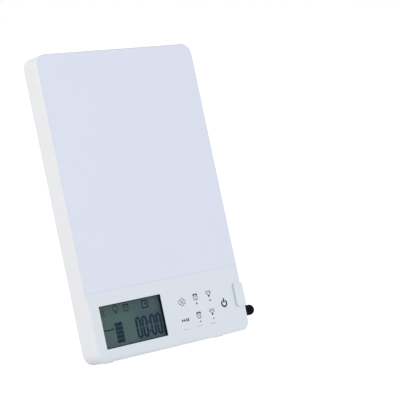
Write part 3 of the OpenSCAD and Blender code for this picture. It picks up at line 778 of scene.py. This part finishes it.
def draw_zero(ink, centre_x, low, high, width, stroke_w):
    """Seven-segment zero: its six lit segments, bars with blunt pointed ends."""
    half, gap, tip_share = stroke_w / 2, 0.12, 0.45
    left, right = centre_x - width / 2 + half, centre_x + width / 2 - half
    bottom, top = low + half, high - half
    middle = (bottom + top) / 2
    ink.at((0, 0))
    for start, end in (
            ((left, top), (right, top)), ((right, top), (right, middle)),
            ((right, middle), (right, bottom)), ((left, bottom), (right, bottom)),
            ((left, bottom), (left, middle)), ((left, middle), (left, top))):
        along = (Vector(end) - Vector(start)).normalized()
        first, last = Vector(start) + along * gap, Vector(end) - along * gap
        side, tip = Vector((-along.y, along.x)) * half, along * half * tip_share
        ink.shape([first, first + tip - side, last - tip - side, last, last - tip + side, first + tip + side])


def band(bm, inner, front, back, width):
    """Closed flat frame of an even width round an outline, between two depths."""
    edge = 0.1
    rings = rings_along(bm, inner, (
        (back, width), (front + edge, width), (front, width - edge), (front, 0), (back, 0)))
    loft(bm, rings + rings[:1])


def make_display():
    """Grey-green display ground with its dark segments behind a clear pane."""
    play, edge = 0.1, 0.12
    pane_y = WINDOW_DEPTH + play
    glass_y = pane_y + PANE_T + play
    for name, margin, front, thick, slot_name, node in (
            ("display_pane", WINDOW_REBATE - PANE_GAP, pane_y, PANE_T, "display_window", "lcd_window"),
            ("display_ground", GLASS_OUT, glass_y, GLASS_T, "display_glass", "lcd_glass")):
        bm = bmesh.new()
        shape = outline(*grown(WINDOW, margin), 0.4, steps=4)
        solid(bm, rings_along(bm, shape, ((front + thick, 0), (front + edge, 0), (front, -edge))))
        finish_mesh(name, bm, slot_name, (node,))

    bm = bmesh.new()
    band(bm, outline(*WINDOW, 0.3, steps=4), GASKET_Y + 0.03, WINDOW_DEPTH, GASKET_W - 0.05)
    finish_mesh("display_gasket_soft", bm, "contact_rubber", ("display_gasket",))

    mark_back = glass_y + 0.02
    bm = bmesh.new()
    border = 0.75
    clear = outline(*grown(WINDOW, -border), 0.8, steps=4)
    band(bm, clear, glass_y - 0.12, mark_back, border + 1.2)
    finish_mesh("display_border", bm, "display_glass", materials=[DISPLAY_BORDER], flats=False)

    def spot(from_left, from_bottom):
        """Place of a mark on the deep display, further right by what its depth hides in the picture."""
        x, z = face_point(from_left, from_bottom)
        return (x + SIGHT_SLOPE * glass_y, z)

    ink = Ink(glass_y - 0.04, mark_back, 0.5)
    digit_low, digit_high, digit_w, digit_stroke = 15.4, 36.4, 6.9, 2.4
    for from_left in (57.0, 64.8, 75.0, 82.7):
        draw_zero(ink, spot(from_left, 0)[0], digit_low, digit_high, digit_w, digit_stroke)
    colon_half = 1.05
    for height in (20.5, 29.4):
        ink.at(spot(70.0, height))
        ink.shape(corners(-colon_half, -colon_half, colon_half, colon_half))
    bar_count, bar_low, bar_high, bar_gap, bar_left, bar_right = 5, 15.7, 35.2, 0.42, 28.2, 37.4
    pitch = (bar_high - bar_low + bar_gap) / bar_count
    ink.at((0, 0))
    for index in range(bar_count):
        low = bar_low + index * pitch
        ink.shape(corners(*spot(bar_left, low), *spot(bar_right, low + pitch - bar_gap)))
    ink.finish("display_segments", DISPLAY_INK, "display_glass")

    faint = Ink(glass_y - 0.03, mark_back, 0.75)
    draw_bulb(faint, spot(32.5, 48.4), 1.2, glass_r=2.4, rays=False)
    draw_alarm_clock(faint, spot(45.7, 47.4), 1.15)
    square_half = 3.4
    faint.at(spot(69.5, 47.2))
    faint.line(corners(-square_half, -square_half, square_half, square_half), 1.25, closed=True)
    faint.line([(0, 1.9), (0, 0), (1.6, 0)], 1.2)
    faint.at(spot(18.4, 46.2))
    faint.line(arc(0, 0, 2.6, 60, 300, 18) + arc(1.5, 0, 2.3, 255, 105, 12), 0.5, closed=True)
    dip_steps, dip, dip_l = 9, 0.9, 12.2
    faint.at(spot(14.4, 30.2))
    faint.line([(dip_l * step / dip_steps, -dip * sin(pi * step / dip_steps))
                for step in range(dip_steps + 1)], 1.25)
    faint.finish("display_faint_marks", DISPLAY_FAINT, "display_glass")


make_display()
make_key_print()

# -------- knob and clasp


def make_knob():
    """Black lock knob: a collar, a fluted grip that runs out, and a round end."""
    bm = bmesh.new()
    sides, flutes, flute_depth, groove_depth = 96, 16, 0.16, 0.3
    radius = KNOB_D / 2
    ball_x = KNOB_X1 - radius
    profile = [(KNOB_X0 + along, reach) for along, reach in (
        (0.6, 2.9), (0, 3.0), (0, radius - 0.6), (0.2, radius - 0.2), (0.6, radius), (2.0, radius),
        (2.25, radius - groove_depth), (2.7, radius - groove_depth), (2.95, radius))]
    grip_start, grip_l, steps = KNOB_X0 + 3.4, ball_x - 1.0 - (KNOB_X0 + 3.4), 10
    profile += [(grip_start + grip_l * step / steps, radius) for step in range(steps + 1)]
    ball_steps = 16
    turns = [pi / 2 * step / ball_steps for step in range(ball_steps)]
    profile += [(ball_x + radius * sin(turn), radius * cos(turn)) for turn in turns]
    rings = []
    for x, reach in profile:
        share = min(1.0, max(0.0, (x - grip_start) / grip_l))
        depth = flute_depth * max(0.0, sin(pi * share)) ** 0.5
        rings.append(circle(
            bm, on_shaft, x,
            lambda angle, r=reach, deep=depth: r - deep * max(0.0, cos(flutes * angle)) ** 2, sides))
    loft(bm, rings)
    fan(bm, bm.verts.new(on_shaft(KNOB_X1, 0, 0)), rings[-1])
    # Closed bore round the threaded end of the shaft
    bore = [circle(bm, on_shaft, KNOB_X0 + along, reach, sides)
            for along, reach in ((1, 2.8), (1, 3.5), (11.2, 3.5))]
    loft(bm, [rings[0]] + bore)
    bm.faces.new(bore[-1])
    finish_mesh("lock_knob_grip", bm, "knob_black", ("lock_knob",), "knob", flats=False)


def make_clasp():
    """Frosted clasp: a flat rounded strip, softened at its rim and bent round the panel's right edge."""
    play, bend_r = 0.05, 0.9                        # off the panel's side, and inside radius of its bends
    side_x = HALF_W + play
    straight = CLASP_LIP + play - bend_r
    quarter = pi / 2 * bend_r
    total = 2 * straight + 2 * quarter + PANEL_T - 2 * bend_r

    def thickness(run):
        """Thickness at the lips, which changes along the bends to that at the side."""
        share = min(1.0, max(0.0, (min(run, total - run) - straight) / quarter))
        return CLASP_T + (CLASP_OUT - play - CLASP_T) * share

    def bent(run, height, z):
        """Place of a point at a run along the strip, at a height off its inner face."""
        back = run > total / 2
        run = total - run if back else run
        if run <= straight:
            x, y = side_x - bend_r - straight + run, -height
        elif run <= straight + quarter:
            turn = (run - straight) / bend_r
            x = side_x - bend_r + (bend_r + height) * sin(turn)
            y = bend_r - (bend_r + height) * cos(turn)
        else:
            x, y = side_x + height, bend_r + run - straight - quarter
        return (x, PANEL_T - y if back else y, z)

    corner, upper_corner, rim, rim_steps = 3.2, 1.6, 0.5, 5
    bm = bmesh.new()
    shape = outline(0, CLASP_Z0, total, CLASP_Z1, (corner, upper_corner), steps=8)
    # Until it is bent, a point's depth is its share of the thickness
    rings = [ring(bm, shape, 0)]
    rings += [ring(bm, shape, 1 - down / CLASP_T, inward) for down, inward in rounding(rim, rim_steps)]
    loft(bm, rings)
    # The two ends of the strip get a deeper tone: partly the frosted plastic's own edge tone, partly painted
    # shade where the lip stands off the face
    for face in bm.faces:
        run = face.calc_center_median().x
        face.material_index = int(min(run, total - run) < corner / 2)
    fill(bm, rings[-1:])
    fill(bm, rings[:1])
    bend_steps, beside = 6, 0.01
    cuts = [corner + beside, straight - beside]
    cuts += [straight + quarter * step / bend_steps for step in range(bend_steps + 1)]
    cuts += [total / 2] + [total - cut for cut in cuts]
    for cut in sorted(cuts):
        bmesh.ops.bisect_plane(bm, geom=bm.verts[:] + bm.edges[:] + bm.faces[:], plane_co=(cut, 0, 0),
                               plane_no=(1, 0, 0), dist=1e-5)
    for vert in bm.verts:
        run, share, z = vert.co
        vert.co = bent(run, share * thickness(run), z)
    finish_mesh("edge_clasp_soft", bm, "clasp_plastic", ("edge_clasp",),
                materials=[FINISH["clasp_plastic"], CLASP_EDGE_TONE_AND_SHADE])


make_knob()
make_clasp()

# -------- back cover


def pan_outline(split):
    """The leg's pan: a rectangle, round at its top, where the finger notch rises over its edge.

    split is the height at which each side gets a point more, for the bay below it.
    """
    lower_r, blend, steps = 0.6, 2.0, 12
    reach = sqrt((NOTCH_R + blend) ** 2 - blend ** 2)
    meet = degrees(asin(blend / (NOTCH_R + blend)))
    return (
        bend(PAN_HALF - lower_r, PAN_Z0 + lower_r, lower_r, -90, 0, steps)
        + [(PAN_HALF, split, 1, 0)]
        + bend(PAN_HALF - PAN_R, PAN_Z1 - PAN_R, PAN_R, 0, 90, steps)
        + bend(reach, PAN_Z1 + blend, blend, 270, 180 + meet, steps, -1)
        + bend(0, PAN_Z1, NOTCH_R, meet, 180 - meet, steps)[1:-1]
        + bend(-reach, PAN_Z1 + blend, blend, -meet, -90, steps, -1)
        + bend(PAN_R - PAN_HALF, PAN_Z1 - PAN_R, PAN_R, 90, 180, steps)
        + [(-PAN_HALF, split, -1, 0)]
        + bend(lower_r - PAN_HALF, PAN_Z0 + lower_r, lower_r, 180, 270, steps)
    )


def sink_pan(bm, rim, wall):
    """Walls and floor of the pan below its rim, with the deeper bay at its lower end.

    rim holds the rim's (depth, growth) pairs, and wall is how far this skin lies outside the
    pan's own surface. Gives the rim's first ring.
    """
    split = BAY_Z1 + wall
    points = pan_outline(split)
    rings = rings_along(bm, points, rim + [(PAN_Y - wall, wall)])
    loft(bm, rings)
    last = rings[-1]
    right, left = [index for index, point in enumerate(points) if point[1] == split]
    lower = last[left:] + last[:right + 1]
    bay = [bm.verts.new((vert.co.x, BAY_Y - wall, vert.co.z)) for vert in lower]
    bridge(bm, lower, bay)
    fill(bm, [last[right:left + 1]])
    fill(bm, [bay])
    return rings[0]


def make_back_cover():
    """Plate with the leg's pan, the screws' seats, the inlet's hole and the vents."""
    bm = bmesh.new()
    inside = PANEL_T - COVER_T
    edge, pan_edge = 0.4, 0.6
    outer = outline(-COVER_HALF, COVER_Z0, COVER_HALF, COVER_Z1,
                    (LOWER_RIGHT_R - COVER_IN,) + (CORNER_R - COVER_IN,) * 3)
    sides = [ring(bm, outer, inside)] + rounded(bm, outer, PANEL_T, -1, edge)
    loft(bm, sides)
    rim = [(PANEL_T - down, inward) for down, inward in reversed(rounding(pan_edge, 4))]
    outside_rings = [sides[-1], sink_pan(bm, rim, 0)]
    inside_rings = [sides[0], sink_pan(bm, [(inside, PAN_WALL)], PAN_WALL)]

    def pierce(points, *profile):
        """Hole from the back face to the inside; profile holds (depth, growth) pairs."""
        rings = rings_along(bm, points, profile)
        loft(bm, rings)
        outside_rings.append(rings[0])
        inside_rings.append(rings[-1])

    seat_y, narrow = PANEL_T - SCREW_HEAD_T - 0.2, SCREW_HOLE_R - SEAT_R
    for x, z in COVER_SCREWS + BRACKET_SCREWS:
        pierce(round_hole(x, z, SEAT_R), (PANEL_T, 0.25), (PANEL_T - 0.08, 0.08), (PANEL_T - 0.25, 0),
               (seat_y, 0), (seat_y, narrow), (inside, narrow))
    pierce(round_hole(*INLET, INLET_HOLE_R), (PANEL_T, 0.3), (PANEL_T - 0.1, 0.1), (PANEL_T - 0.3, 0),
           (inside, 0))
    pierce(round_hole(*CLASP_SCREW, SCREW_HOLE_R, 16), (PANEL_T, 0), (inside, 0))
    half = VENT_W / 2
    for x in VENT_PLACES:
        slot_shape = outline(x - half, VENT_Z0, x + half, VENT_Z0 + VENT_L, half - 0.05, steps=5)
        pierce(slot_shape, (PANEL_T, 0), (inside, 0))
    fill(bm, outside_rings)
    fill(bm, inside_rings)
    for height in COVER_RIBS:
        block(bm, (-RIB_HALF, RIB_Y, height), (RIB_HALF, inside + 0.1, height + RIB_T))
    finish_mesh("back_cover_shell", bm, "cover_plastic", ("back_cover",))


make_back_cover()

# -------- leg, pads and inlet


def make_leg():
    """Leg with its barrel, drawn folded and opened by its place, and the plate that closes its hollow."""
    half, tip_z = LEG_W / 2, SHAFT_Z + LEG_L
    inner_y, outer_y = LEG_Y0, LEG_Y0 + LEG_T
    edge, steps, lower_r = 1.0, 5, 1.2
    bm = bmesh.new()
    shape = outline(-half, SHAFT_Z, half, tip_z, (lower_r, LEG_TIP_R))
    rings = rounded(bm, shape, inner_y, 1, edge, steps)[::-1] + rounded(bm, shape, outer_y, -1, edge, steps)
    loft(bm, rings)
    fill(bm, rings[-1:])
    hollow_box = (POCKET_IN - half, POCKET_Z0, half - POCKET_IN, tip_z - POCKET_IN)
    hollow_r, hollow_low_r = LEG_TIP_R - POCKET_IN, 0.6
    hollow = rings_along(bm, outline(*hollow_box, (hollow_low_r, hollow_r)), (
        (inner_y, 0.25), (inner_y + 0.08, 0.08), (inner_y + 0.25, 0), (inner_y + POCKET_DEEP, 0)))
    loft(bm, hollow)
    fill(bm, [rings[0], hollow[0]])
    fill(bm, hollow[-1:])
    soft = 0.6
    turns = [radians(90 * step / steps) for step in range(1, steps + 1)]
    profile = [(-half, 0), (-half, BARREL_R - soft)]
    profile += [(-half + soft * (1 - cos(a)), BARREL_R - soft + soft * sin(a)) for a in turns]
    profile += [(-along, radius) for along, radius in reversed(profile)]
    lathe(bm, profile, 64, on_shaft)
    finish_mesh("stand_leg_shell", bm, "leg_plastic", ("stand_leg",), "leg", place=OPENED)

    bm = bmesh.new()
    gap, lip, plate_low_r = 0.12, 0.3, 0.5
    plate = outline(*grown(hollow_box, -gap), (plate_low_r, hollow_r - gap))
    solid(bm, rounded(bm, plate, inner_y, 1, lip, steps)[::-1] + [ring(bm, plate, inner_y + LEG_COVER_T)])
    finish_mesh("leg_cover_plate", bm, "leg_plastic", ("leg_cover",), "leg", place=OPENED)


def pad_on_table(name, points, spot, drop, place, body, node, materials=None):
    """Soft pad that reaches from an outline on its carrier down to the table.

    spot turns outline points into places on the carrier, and drop is the way down in its axes.
    """
    bm = bmesh.new()
    down = (place.to_3x3() @ Vector(drop)).normalized()
    edge = 0.3 * MM

    def cut(height, inset):
        """Ring where the pad's sides are a height above the table."""
        verts = []
        for u, v, normal_u, normal_v in points:
            start = place @ Vector(spot(u - inset * normal_u, v - inset * normal_v))
            verts.append(bm.verts.new(start + down * ((start.z - height) / -down.z)))
        return verts

    top = [bm.verts.new(place @ Vector(spot(u, v))) for u, v, _, _ in points]
    rings = [top, cut(edge, 0), cut(edge * 0.3, 0.08), cut(0, 0.3)]
    loft(bm, rings)
    bm.faces.new(top)
    bm.faces.new(rings[-1])
    finish_mesh(name, bm, "foot_rubber", (node,), body, materials, Matrix.Identity(4))


def make_pads():
    """Rubber pad under the leg's tip, and the two clear feet under the panel."""
    half, tip_z = LEG_W / 2 - PAD_IN, SHAFT_Z + LEG_L - PAD_IN
    pad = outline(-half, tip_z - PAD_L, half, tip_z, PAD_R, steps=8)
    pad_on_table("leg_tip_pad", pad, lambda u, v: (u, LEG_Y0 + LEG_T, v), (0, 1, 0), OPENED, "leg", "leg_pad")
    for name, x in (("left", -FOOT_X), ("right", FOOT_X)):
        foot = outline(x - FOOT_W / 2, FOOT_Y[0], x + FOOT_W / 2, FOOT_Y[1], 1.5, steps=6)
        pad_on_table(name + "_clear_foot", foot, lambda u, v: (u, v, 0), (0, 0, -1), STAND, "lamp",
                     "edge_feet", [CLEAR_FOOT])


def make_inlet():
    """Black inlet with a flanged mouth, and its brass pin."""
    def spot(along, across, up):
        """Place round the inlet's axis."""
        return (INLET[0] + across, along, INLET[1] + up)

    front, floor_y, collar_y = PANEL_T - 0.3, INLET_Y0 + 2, 19.0
    body_r, collar_r, mouth_r, bore_r, pin_hole_r = 4.6, 4.3, 3.5, 3.15, 1.1
    bm = bmesh.new()
    lathe(bm, [
        (INLET_Y0, pin_hole_r), (INLET_Y0, body_r), (collar_y, body_r), (collar_y, collar_r),
        (front - 0.3, collar_r), (front - 0.1, 4.2), (front, 4.0), (front, mouth_r), (front - 0.15, 3.25),
        (front - 0.5, bore_r), (floor_y, bore_r), (floor_y, pin_hole_r)], 48, spot)
    cheek_in, cheek_out, cheek_y = 3.4, 5, 19.4
    for x0, x1 in ((-cheek_out, -cheek_in), (cheek_in, cheek_out)):
        block(bm, (INLET[0] + x0, INLET_Y0, INLET[1] - cheek_out),
              (INLET[0] + x1, cheek_y, INLET[1] + cheek_out))
    finish_mesh("power_inlet_socket", bm, "chip_black", ("power_inlet",))

    bm = bmesh.new()
    foot_y, tip_y, pin_r = INLET_Y0 + 0.2, PANEL_T - 2, 1.0
    lathe(bm, [(foot_y, 0), (foot_y, pin_r), (tip_y - 0.4, pin_r), (tip_y - 0.15, 0.85), (tip_y, 0.55),
               (tip_y, 0)], 24, spot)
    finish_mesh("inlet_centre_pin", bm, "inlet_brass", ("inlet_pin",))


make_leg()
make_pads()
make_inlet()

# -------- repeated small parts


def new_tree(name, inputs):
    """Geometry tree to sketch in, which takes points, its own inputs and a finish."""
    return new_group(name, "Geometry", {"Geometry": "Geometry", **inputs, "Finish": "Material"},
                     {"Geometry": "Geometry"})


def finish_tree(sketch, instances):
    """Ends a tree with its instances as plain geometry that has the finish."""
    real = sketch.out("GeometryNodeRealizeInstances", {0: instances})
    painted = sketch.out("GeometryNodeSetMaterial", {"Geometry": real, "Material": sketch.given["Finish"]})
    sketch.feed(sketch.result, {0: painted})
    return sketch.tree


def screw_tree():
    """Domed screws with a cross recess, one on each point, each turned by chance about its own axis."""
    sketch = new_tree("Screws on points", {
        "Head radius": "Float", "Head height": "Float", "Thread radius": "Float", "Thread length": "Float",
        "Recess length": "Float", "Recess width": "Float", "Recess depth": "Float", "Seed": "Int"})
    given, out, maths, vector = sketch.given, sketch.out, sketch.maths, sketch.vector
    radius, height, length = given["Head radius"], given["Head height"], given["Thread length"]
    half = maths("MULTIPLY", height, 0.5)
    head = out("GeometryNodeMeshCylinder", {
        "Vertices": 40, "Side Segments": 2, "Fill Segments": 5, "Radius": radius, "Depth": height})

    # Dome: the top falls away towards the rim
    parts = sketch.node("ShaderNodeSeparateXYZ", {0: out("GeometryNodeInputPosition")}).outputs
    reach = sketch.node("ShaderNodeVectorMath", {0: vector(parts[0], parts[1])}, operation="LENGTH")
    share = maths("POWER", maths("DIVIDE", reach.outputs["Value"], radius), 4.0)
    fall = maths("MULTIPLY", maths("MULTIPLY", share, height), -0.45)
    is_top = maths("GREATER_THAN", parts[2], 0.01)
    domed = out("GeometryNodeSetPosition", {
        "Geometry": head, "Offset": vector(z=maths("MULTIPLY", fall, is_top))})

    # Cross recess in the top
    size = vector(given["Recess length"], given["Recess width"],
                  maths("MULTIPLY", given["Recess depth"], 2.0))
    bar = out("GeometryNodeMeshCube", {"Size": size})
    cross_bar = out("GeometryNodeTransform", {0: bar, "Rotation": (0, 0, pi / 2)})
    cross = out("GeometryNodeMeshBoolean", {"Mesh 2": [bar, cross_bar]}, operation="UNION", solver="EXACT")
    raised = out("GeometryNodeTransform", {0: cross, "Translation": vector(z=half)})
    cut = out("GeometryNodeMeshBoolean", {"Mesh 1": domed, "Mesh 2": raised}, operation="DIFFERENCE",
              solver="EXACT")

    thread = out("GeometryNodeMeshCylinder", {
        "Vertices": 20, "Radius": given["Thread radius"], "Depth": length})
    below = maths("ADD", maths("MULTIPLY", length, -0.5), maths("MULTIPLY", height, -0.4))
    thread = out("GeometryNodeTransform", {0: thread, "Translation": vector(z=below)})
    screw = out("GeometryNodeJoinGeometry", {0: [cut, thread]})
    screw = out("GeometryNodeTransform", {0: screw, "Translation": vector(z=maths("MULTIPLY", half, -1.0))})

    # Heads face the back, along the panel's depth
    spin = sketch.node("FunctionNodeRandomValue", {"Min": 0.0, "Max": 2 * pi, "Seed": given["Seed"]},
                       data_type="FLOAT")
    spin_out = next(socket for socket in spin.outputs if socket.enabled and socket.type == "VALUE")
    placed = out("GeometryNodeInstanceOnPoints", {
        "Points": given["Geometry"], "Instance": screw, "Rotation": (-pi / 2, 0, 0)})
    turned = out("GeometryNodeRotateInstances", {
        "Instances": placed, "Rotation": vector(z=spin_out), "Local Space": True})
    return finish_tree(sketch, turned)


def slot_lip_tree():
    """Rounded lips of a row of long slots, swept round each slot's outline."""
    sketch = new_tree("Row of slot lips", {
        "Slots": "Int", "Pitch": "Float", "Slot width": "Float", "Slot length": "Float",
        "Lip radius": "Float"})
    given, out, maths = sketch.given, sketch.out, sketch.maths
    shape = out("GeometryNodeCurvePrimitiveQuadrilateral", {
        "Width": given["Slot width"], "Height": given["Slot length"]})
    rounded_shape = out("GeometryNodeFilletCurve", {
        "Curve": shape, "Radius": maths("MULTIPLY", given["Slot width"], 0.499), "Count": 5}, mode="POLY")
    section = out("GeometryNodeCurvePrimitiveCircle", {"Resolution": 10, "Radius": given["Lip radius"]})
    lip = out("GeometryNodeCurveToMesh", {"Curve": rounded_shape, "Profile Curve": section})
    first = maths("MULTIPLY", maths("SUBTRACT", given["Slots"], 1.0), maths("MULTIPLY", given["Pitch"], -0.5))
    row = out("GeometryNodeMeshLine", {
        "Count": given["Slots"], "Start Location": sketch.vector(first),
        "Offset": sketch.vector(given["Pitch"])})
    return finish_tree(sketch, out("GeometryNodeInstanceOnPoints", {"Points": row, "Instance": lip}))


def emitter_tree():
    """Row of light emitters: small packages with a sunk face, along the panel's height."""
    sketch = new_tree("Row of light emitters", {
        "Emitters": "Int", "Pitch": "Float", "Size": "Vector", "Sunk face": "Float"})
    given, out, maths = sketch.given, sketch.out, sketch.maths
    cube = out("GeometryNodeMeshCube", {"Size": given["Size"]})
    lit_face = maths("GREATER_THAN", out("ShaderNodeSeparateXYZ", {0: out("GeometryNodeInputNormal")}), 0.5)
    framed = sketch.node("GeometryNodeExtrudeMesh", {
        "Mesh": cube, "Selection": lit_face, "Offset Scale": 0.0}).outputs
    inner = out("GeometryNodeScaleElements", {
        "Geometry": framed["Mesh"], "Selection": framed["Top"], "Scale": 0.76})
    sunk = out("GeometryNodeSetPosition", {
        "Geometry": inner, "Selection": framed["Top"],
        "Offset": sketch.vector(maths("MULTIPLY", given["Sunk face"], -1.0))})
    row = out("GeometryNodeMeshLine", {"Count": given["Emitters"], "Offset": sketch.vector(z=given["Pitch"])})
    return finish_tree(sketch, out("GeometryNodeInstanceOnPoints", {"Points": row, "Instance": sunk}))


def grow_from(tree, name, places, values, slot, nodes=(), turn=Matrix.Identity(4)):
    """Runs a geometry tree on points and keeps its result as one plain mesh of the lamp."""
    carrier_mesh = bpy.data.meshes.new(name + "_points")
    carrier_mesh.from_pydata(places, [], [])
    carrier = add_object(name + "_points", carrier_mesh)
    modifier = carrier.modifiers.new("tree", "NODES")
    modifier.node_group = tree
    sockets = {item.name: item.identifier for item in tree.interface.items_tree
               if item.item_type == "SOCKET" and item.in_out == "INPUT"}
    for key, value in {**values, "Finish": FINISH[slot]}.items():
        modifier[sockets[key]] = value
    bpy.context.view_layer.update()
    seen = carrier.evaluated_get(bpy.context.evaluated_depsgraph_get())
    mesh = bpy.data.meshes.new_from_object(seen)
    bm = bmesh.new()
    bm.from_mesh(mesh)
    bpy.data.objects.remove(carrier)
    bpy.data.meshes.remove(carrier_mesh)
    bpy.data.meshes.remove(mesh)
    loose = [vert for vert in bm.verts if not vert.link_faces]
    bmesh.ops.delete(bm, geom=loose, context="VERTS")
    bmesh.ops.remove_doubles(bm, verts=bm.verts, dist=1e-4)
    bmesh.ops.transform(bm, matrix=turn, verts=bm.verts)
    finish_mesh(name, bm, slot, nodes, flats=False)


def make_screws():
    """The screws of the cover, the shaft's brackets and the clasp."""
    screws = screw_tree()
    head = {"Head radius": SCREW_HEAD_R, "Head height": SCREW_HEAD_T, "Thread radius": 1.2,
            "Thread length": 6.2, "Recess length": 3.0, "Recess width": 0.62, "Recess depth": 0.85}
    top, clasp_top = PANEL_T - 0.15, PANEL_T + CLASP_T + SCREW_HEAD_T
    for name, node, places, y, seed in (
            ("cover_screw_heads", "cover_screws", COVER_SCREWS, top, 3),
            ("bracket_screw_heads", "bracket_screws", BRACKET_SCREWS, top, 8),
            ("clasp_screw_head", "clasp_screw", [CLASP_SCREW], clasp_top, 5)):
        points = [(x, y, z) for x, z in places]
        grow_from(screws, name, points, {**head, "Seed": seed}, "screw_steel", (node,))


def make_vent_lips():
    """Rounded lips of the two rows of vents."""
    slot_lips, lip, raised = slot_lip_tree(), 0.3, 0.08
    stood = Matrix.Rotation(radians(90), 4, "X")
    for name, middle in (("left", -VENT_MIDDLE), ("right", VENT_MIDDLE)):
        set_in = Matrix.Translation((middle, PANEL_T - lip + raised, VENT_Z0 + VENT_L / 2))
        grow_from(slot_lips, name + "_vent_lips", [], {
            "Slots": VENT_COUNT, "Pitch": VENT_PITCH, "Slot width": VENT_W, "Slot length": VENT_L,
            "Lip radius": lip}, "cover_plastic", turn=set_in @ stood)


def make_emitters():
    """The light emitters on both boards, which face the light guide."""
    emitters, size = emitter_tree(), (0.8, 2.8, 3.5)
    for name, side, turn in (("left", -1, 0), ("right", 1, pi)):
        start = Matrix.Translation((side * (LED_BOARD_X - size[0] / 2), GUIDE_Y + 2, LED_Z0))
        grow_from(emitters, name + "_emitters", [], {
            "Emitters": LED_COUNT, "Pitch": LED_PITCH, "Size": size, "Sunk face": 0.25},
            "led_phosphor", (name + "_leds",), start @ Matrix.Rotation(turn, 4, "Z"))


make_screws()
make_vent_lips()
make_emitters()

# -------- studio and camera


def aim_camera():
    """The photograph's view: its pan, pitch and focal length, and where it stands before the face."""
    pan, pitch = radians(42.59), radians(-10.21)
    focal_px, frame_px = 1597.3, 400
    sensor_mm = 36
    # The middle of the face, seen from the camera: to the right, up and forward, in mm
    face_right, face_up, face_forward = -53.03, 3.39, 1573.0
    right = Vector((cos(pan), -sin(pan), 0))
    forward = Vector((sin(pan) * cos(pitch), cos(pan) * cos(pitch), sin(pitch)))
    up = right.cross(forward)
    middle = STAND @ Vector((0, 0, PANEL_H / 2))
    place = middle - (right * face_right + up * face_up + forward * face_forward) * MM
    data = bpy.data.cameras.new("camera")
    data.sensor_width = sensor_mm
    data.lens = focal_px * sensor_mm / frame_px
    data.clip_start = 0.05
    data.clip_end = 50
    camera = add_object("camera", data)
    camera.matrix_world = Matrix((
        (right.x, up.x, -forward.x, place.x),
        (right.y, up.y, -forward.y, place.y),
        (right.z, up.z, -forward.z, place.z),
        (0, 0, 0, 1)))
    bpy.context.scene.camera = camera


def area_light(name, place, target, size, power, colour=(1, 1, 1)):
    """Round soft light at a place, aimed at a target, both in metres."""
    data = bpy.data.lights.new(name, "AREA")
    data.shape = "DISK"
    data.size = size
    data.energy = power
    data.color = colour
    light = add_object(name, data)
    light.location = place
    light.rotation_euler = (Vector(target) - Vector(place)).to_track_quat("-Z", "Y").to_euler()


def see_or_light(sketch, seen, lit, end):
    """What the camera sees, and the softer shader that lights the lamp, at the end of a tree."""
    camera_ray = sketch.node("ShaderNodeLightPath").outputs["Is Camera Ray"]
    mixed = sketch.out("ShaderNodeMixShader", {0: camera_ray, 1: lit, 2: seen})
    sketch.feed(sketch.tree.nodes[end], {0: mixed})


def build_studio():
    """White studio: the picture's background is white, and softer light falls on the lamp."""
    world = bpy.data.worlds.new("studio")
    world.use_nodes = True
    sky = Sketch(world.node_tree)
    light = sky.tree.nodes["Background"]
    sky.feed(light, {"Color": (0.955, 0.98, 1, 1), "Strength": 0.725})
    white = sky.out("ShaderNodeBackground", {"Color": (1, 1, 1, 1), "Strength": 1.0})
    see_or_light(sky, white, light.outputs[0], "World Output")
    bpy.context.scene.world = world
    bpy.context.scene.view_settings.view_transform = "Standard"

    half = 4.0
    bm = bmesh.new()
    bm.faces.new([bm.verts.new((x, y, 0)) for x, y in corners(-half, -half, half, half)])
    mesh = bpy.data.meshes.new("floor")
    bm.to_mesh(mesh)
    bm.free()
    floor = add_object("floor", mesh)
    pale, glow, surface = new_material("pale floor")
    glow.feed(surface, {
        "Base Color": (0.42, 0.42, 0.42, 1), "Roughness": 0.9, "Specular IOR Level": 0,
        "Emission Color": (1, 1, 1, 1), "Emission Strength": 0.92})
    # The lamp itself is lit by a softer floor than the white one that the picture shows
    own_glow = glow.out("ShaderNodeEmission", {"Strength": 0.1})
    grey = glow.out("ShaderNodeBsdfDiffuse", {"Color": (0.76, 0.76, 0.76, 1)})
    softer = glow.out("ShaderNodeAddShader", {0: own_glow, 1: grey})
    see_or_light(glow, surface.outputs[0], softer, "Material Output")
    mesh.materials.append(pale)
    area_light("key", (-1.5, 0.05, 1.1), (0, 0, 0.15), 0.7, 10.0, (1, 0.823, 0.695))
    area_light("fill", (0.3, -1.8, 0.9), (0, 0, 0.15), 1.2, 6.4, (0.92, 0.96, 1))
    area_light("rim", (0.9, 1.3, 1.3), (0, 0, 0.12), 0.8, 4.0)


build_studio()
aim_camera()
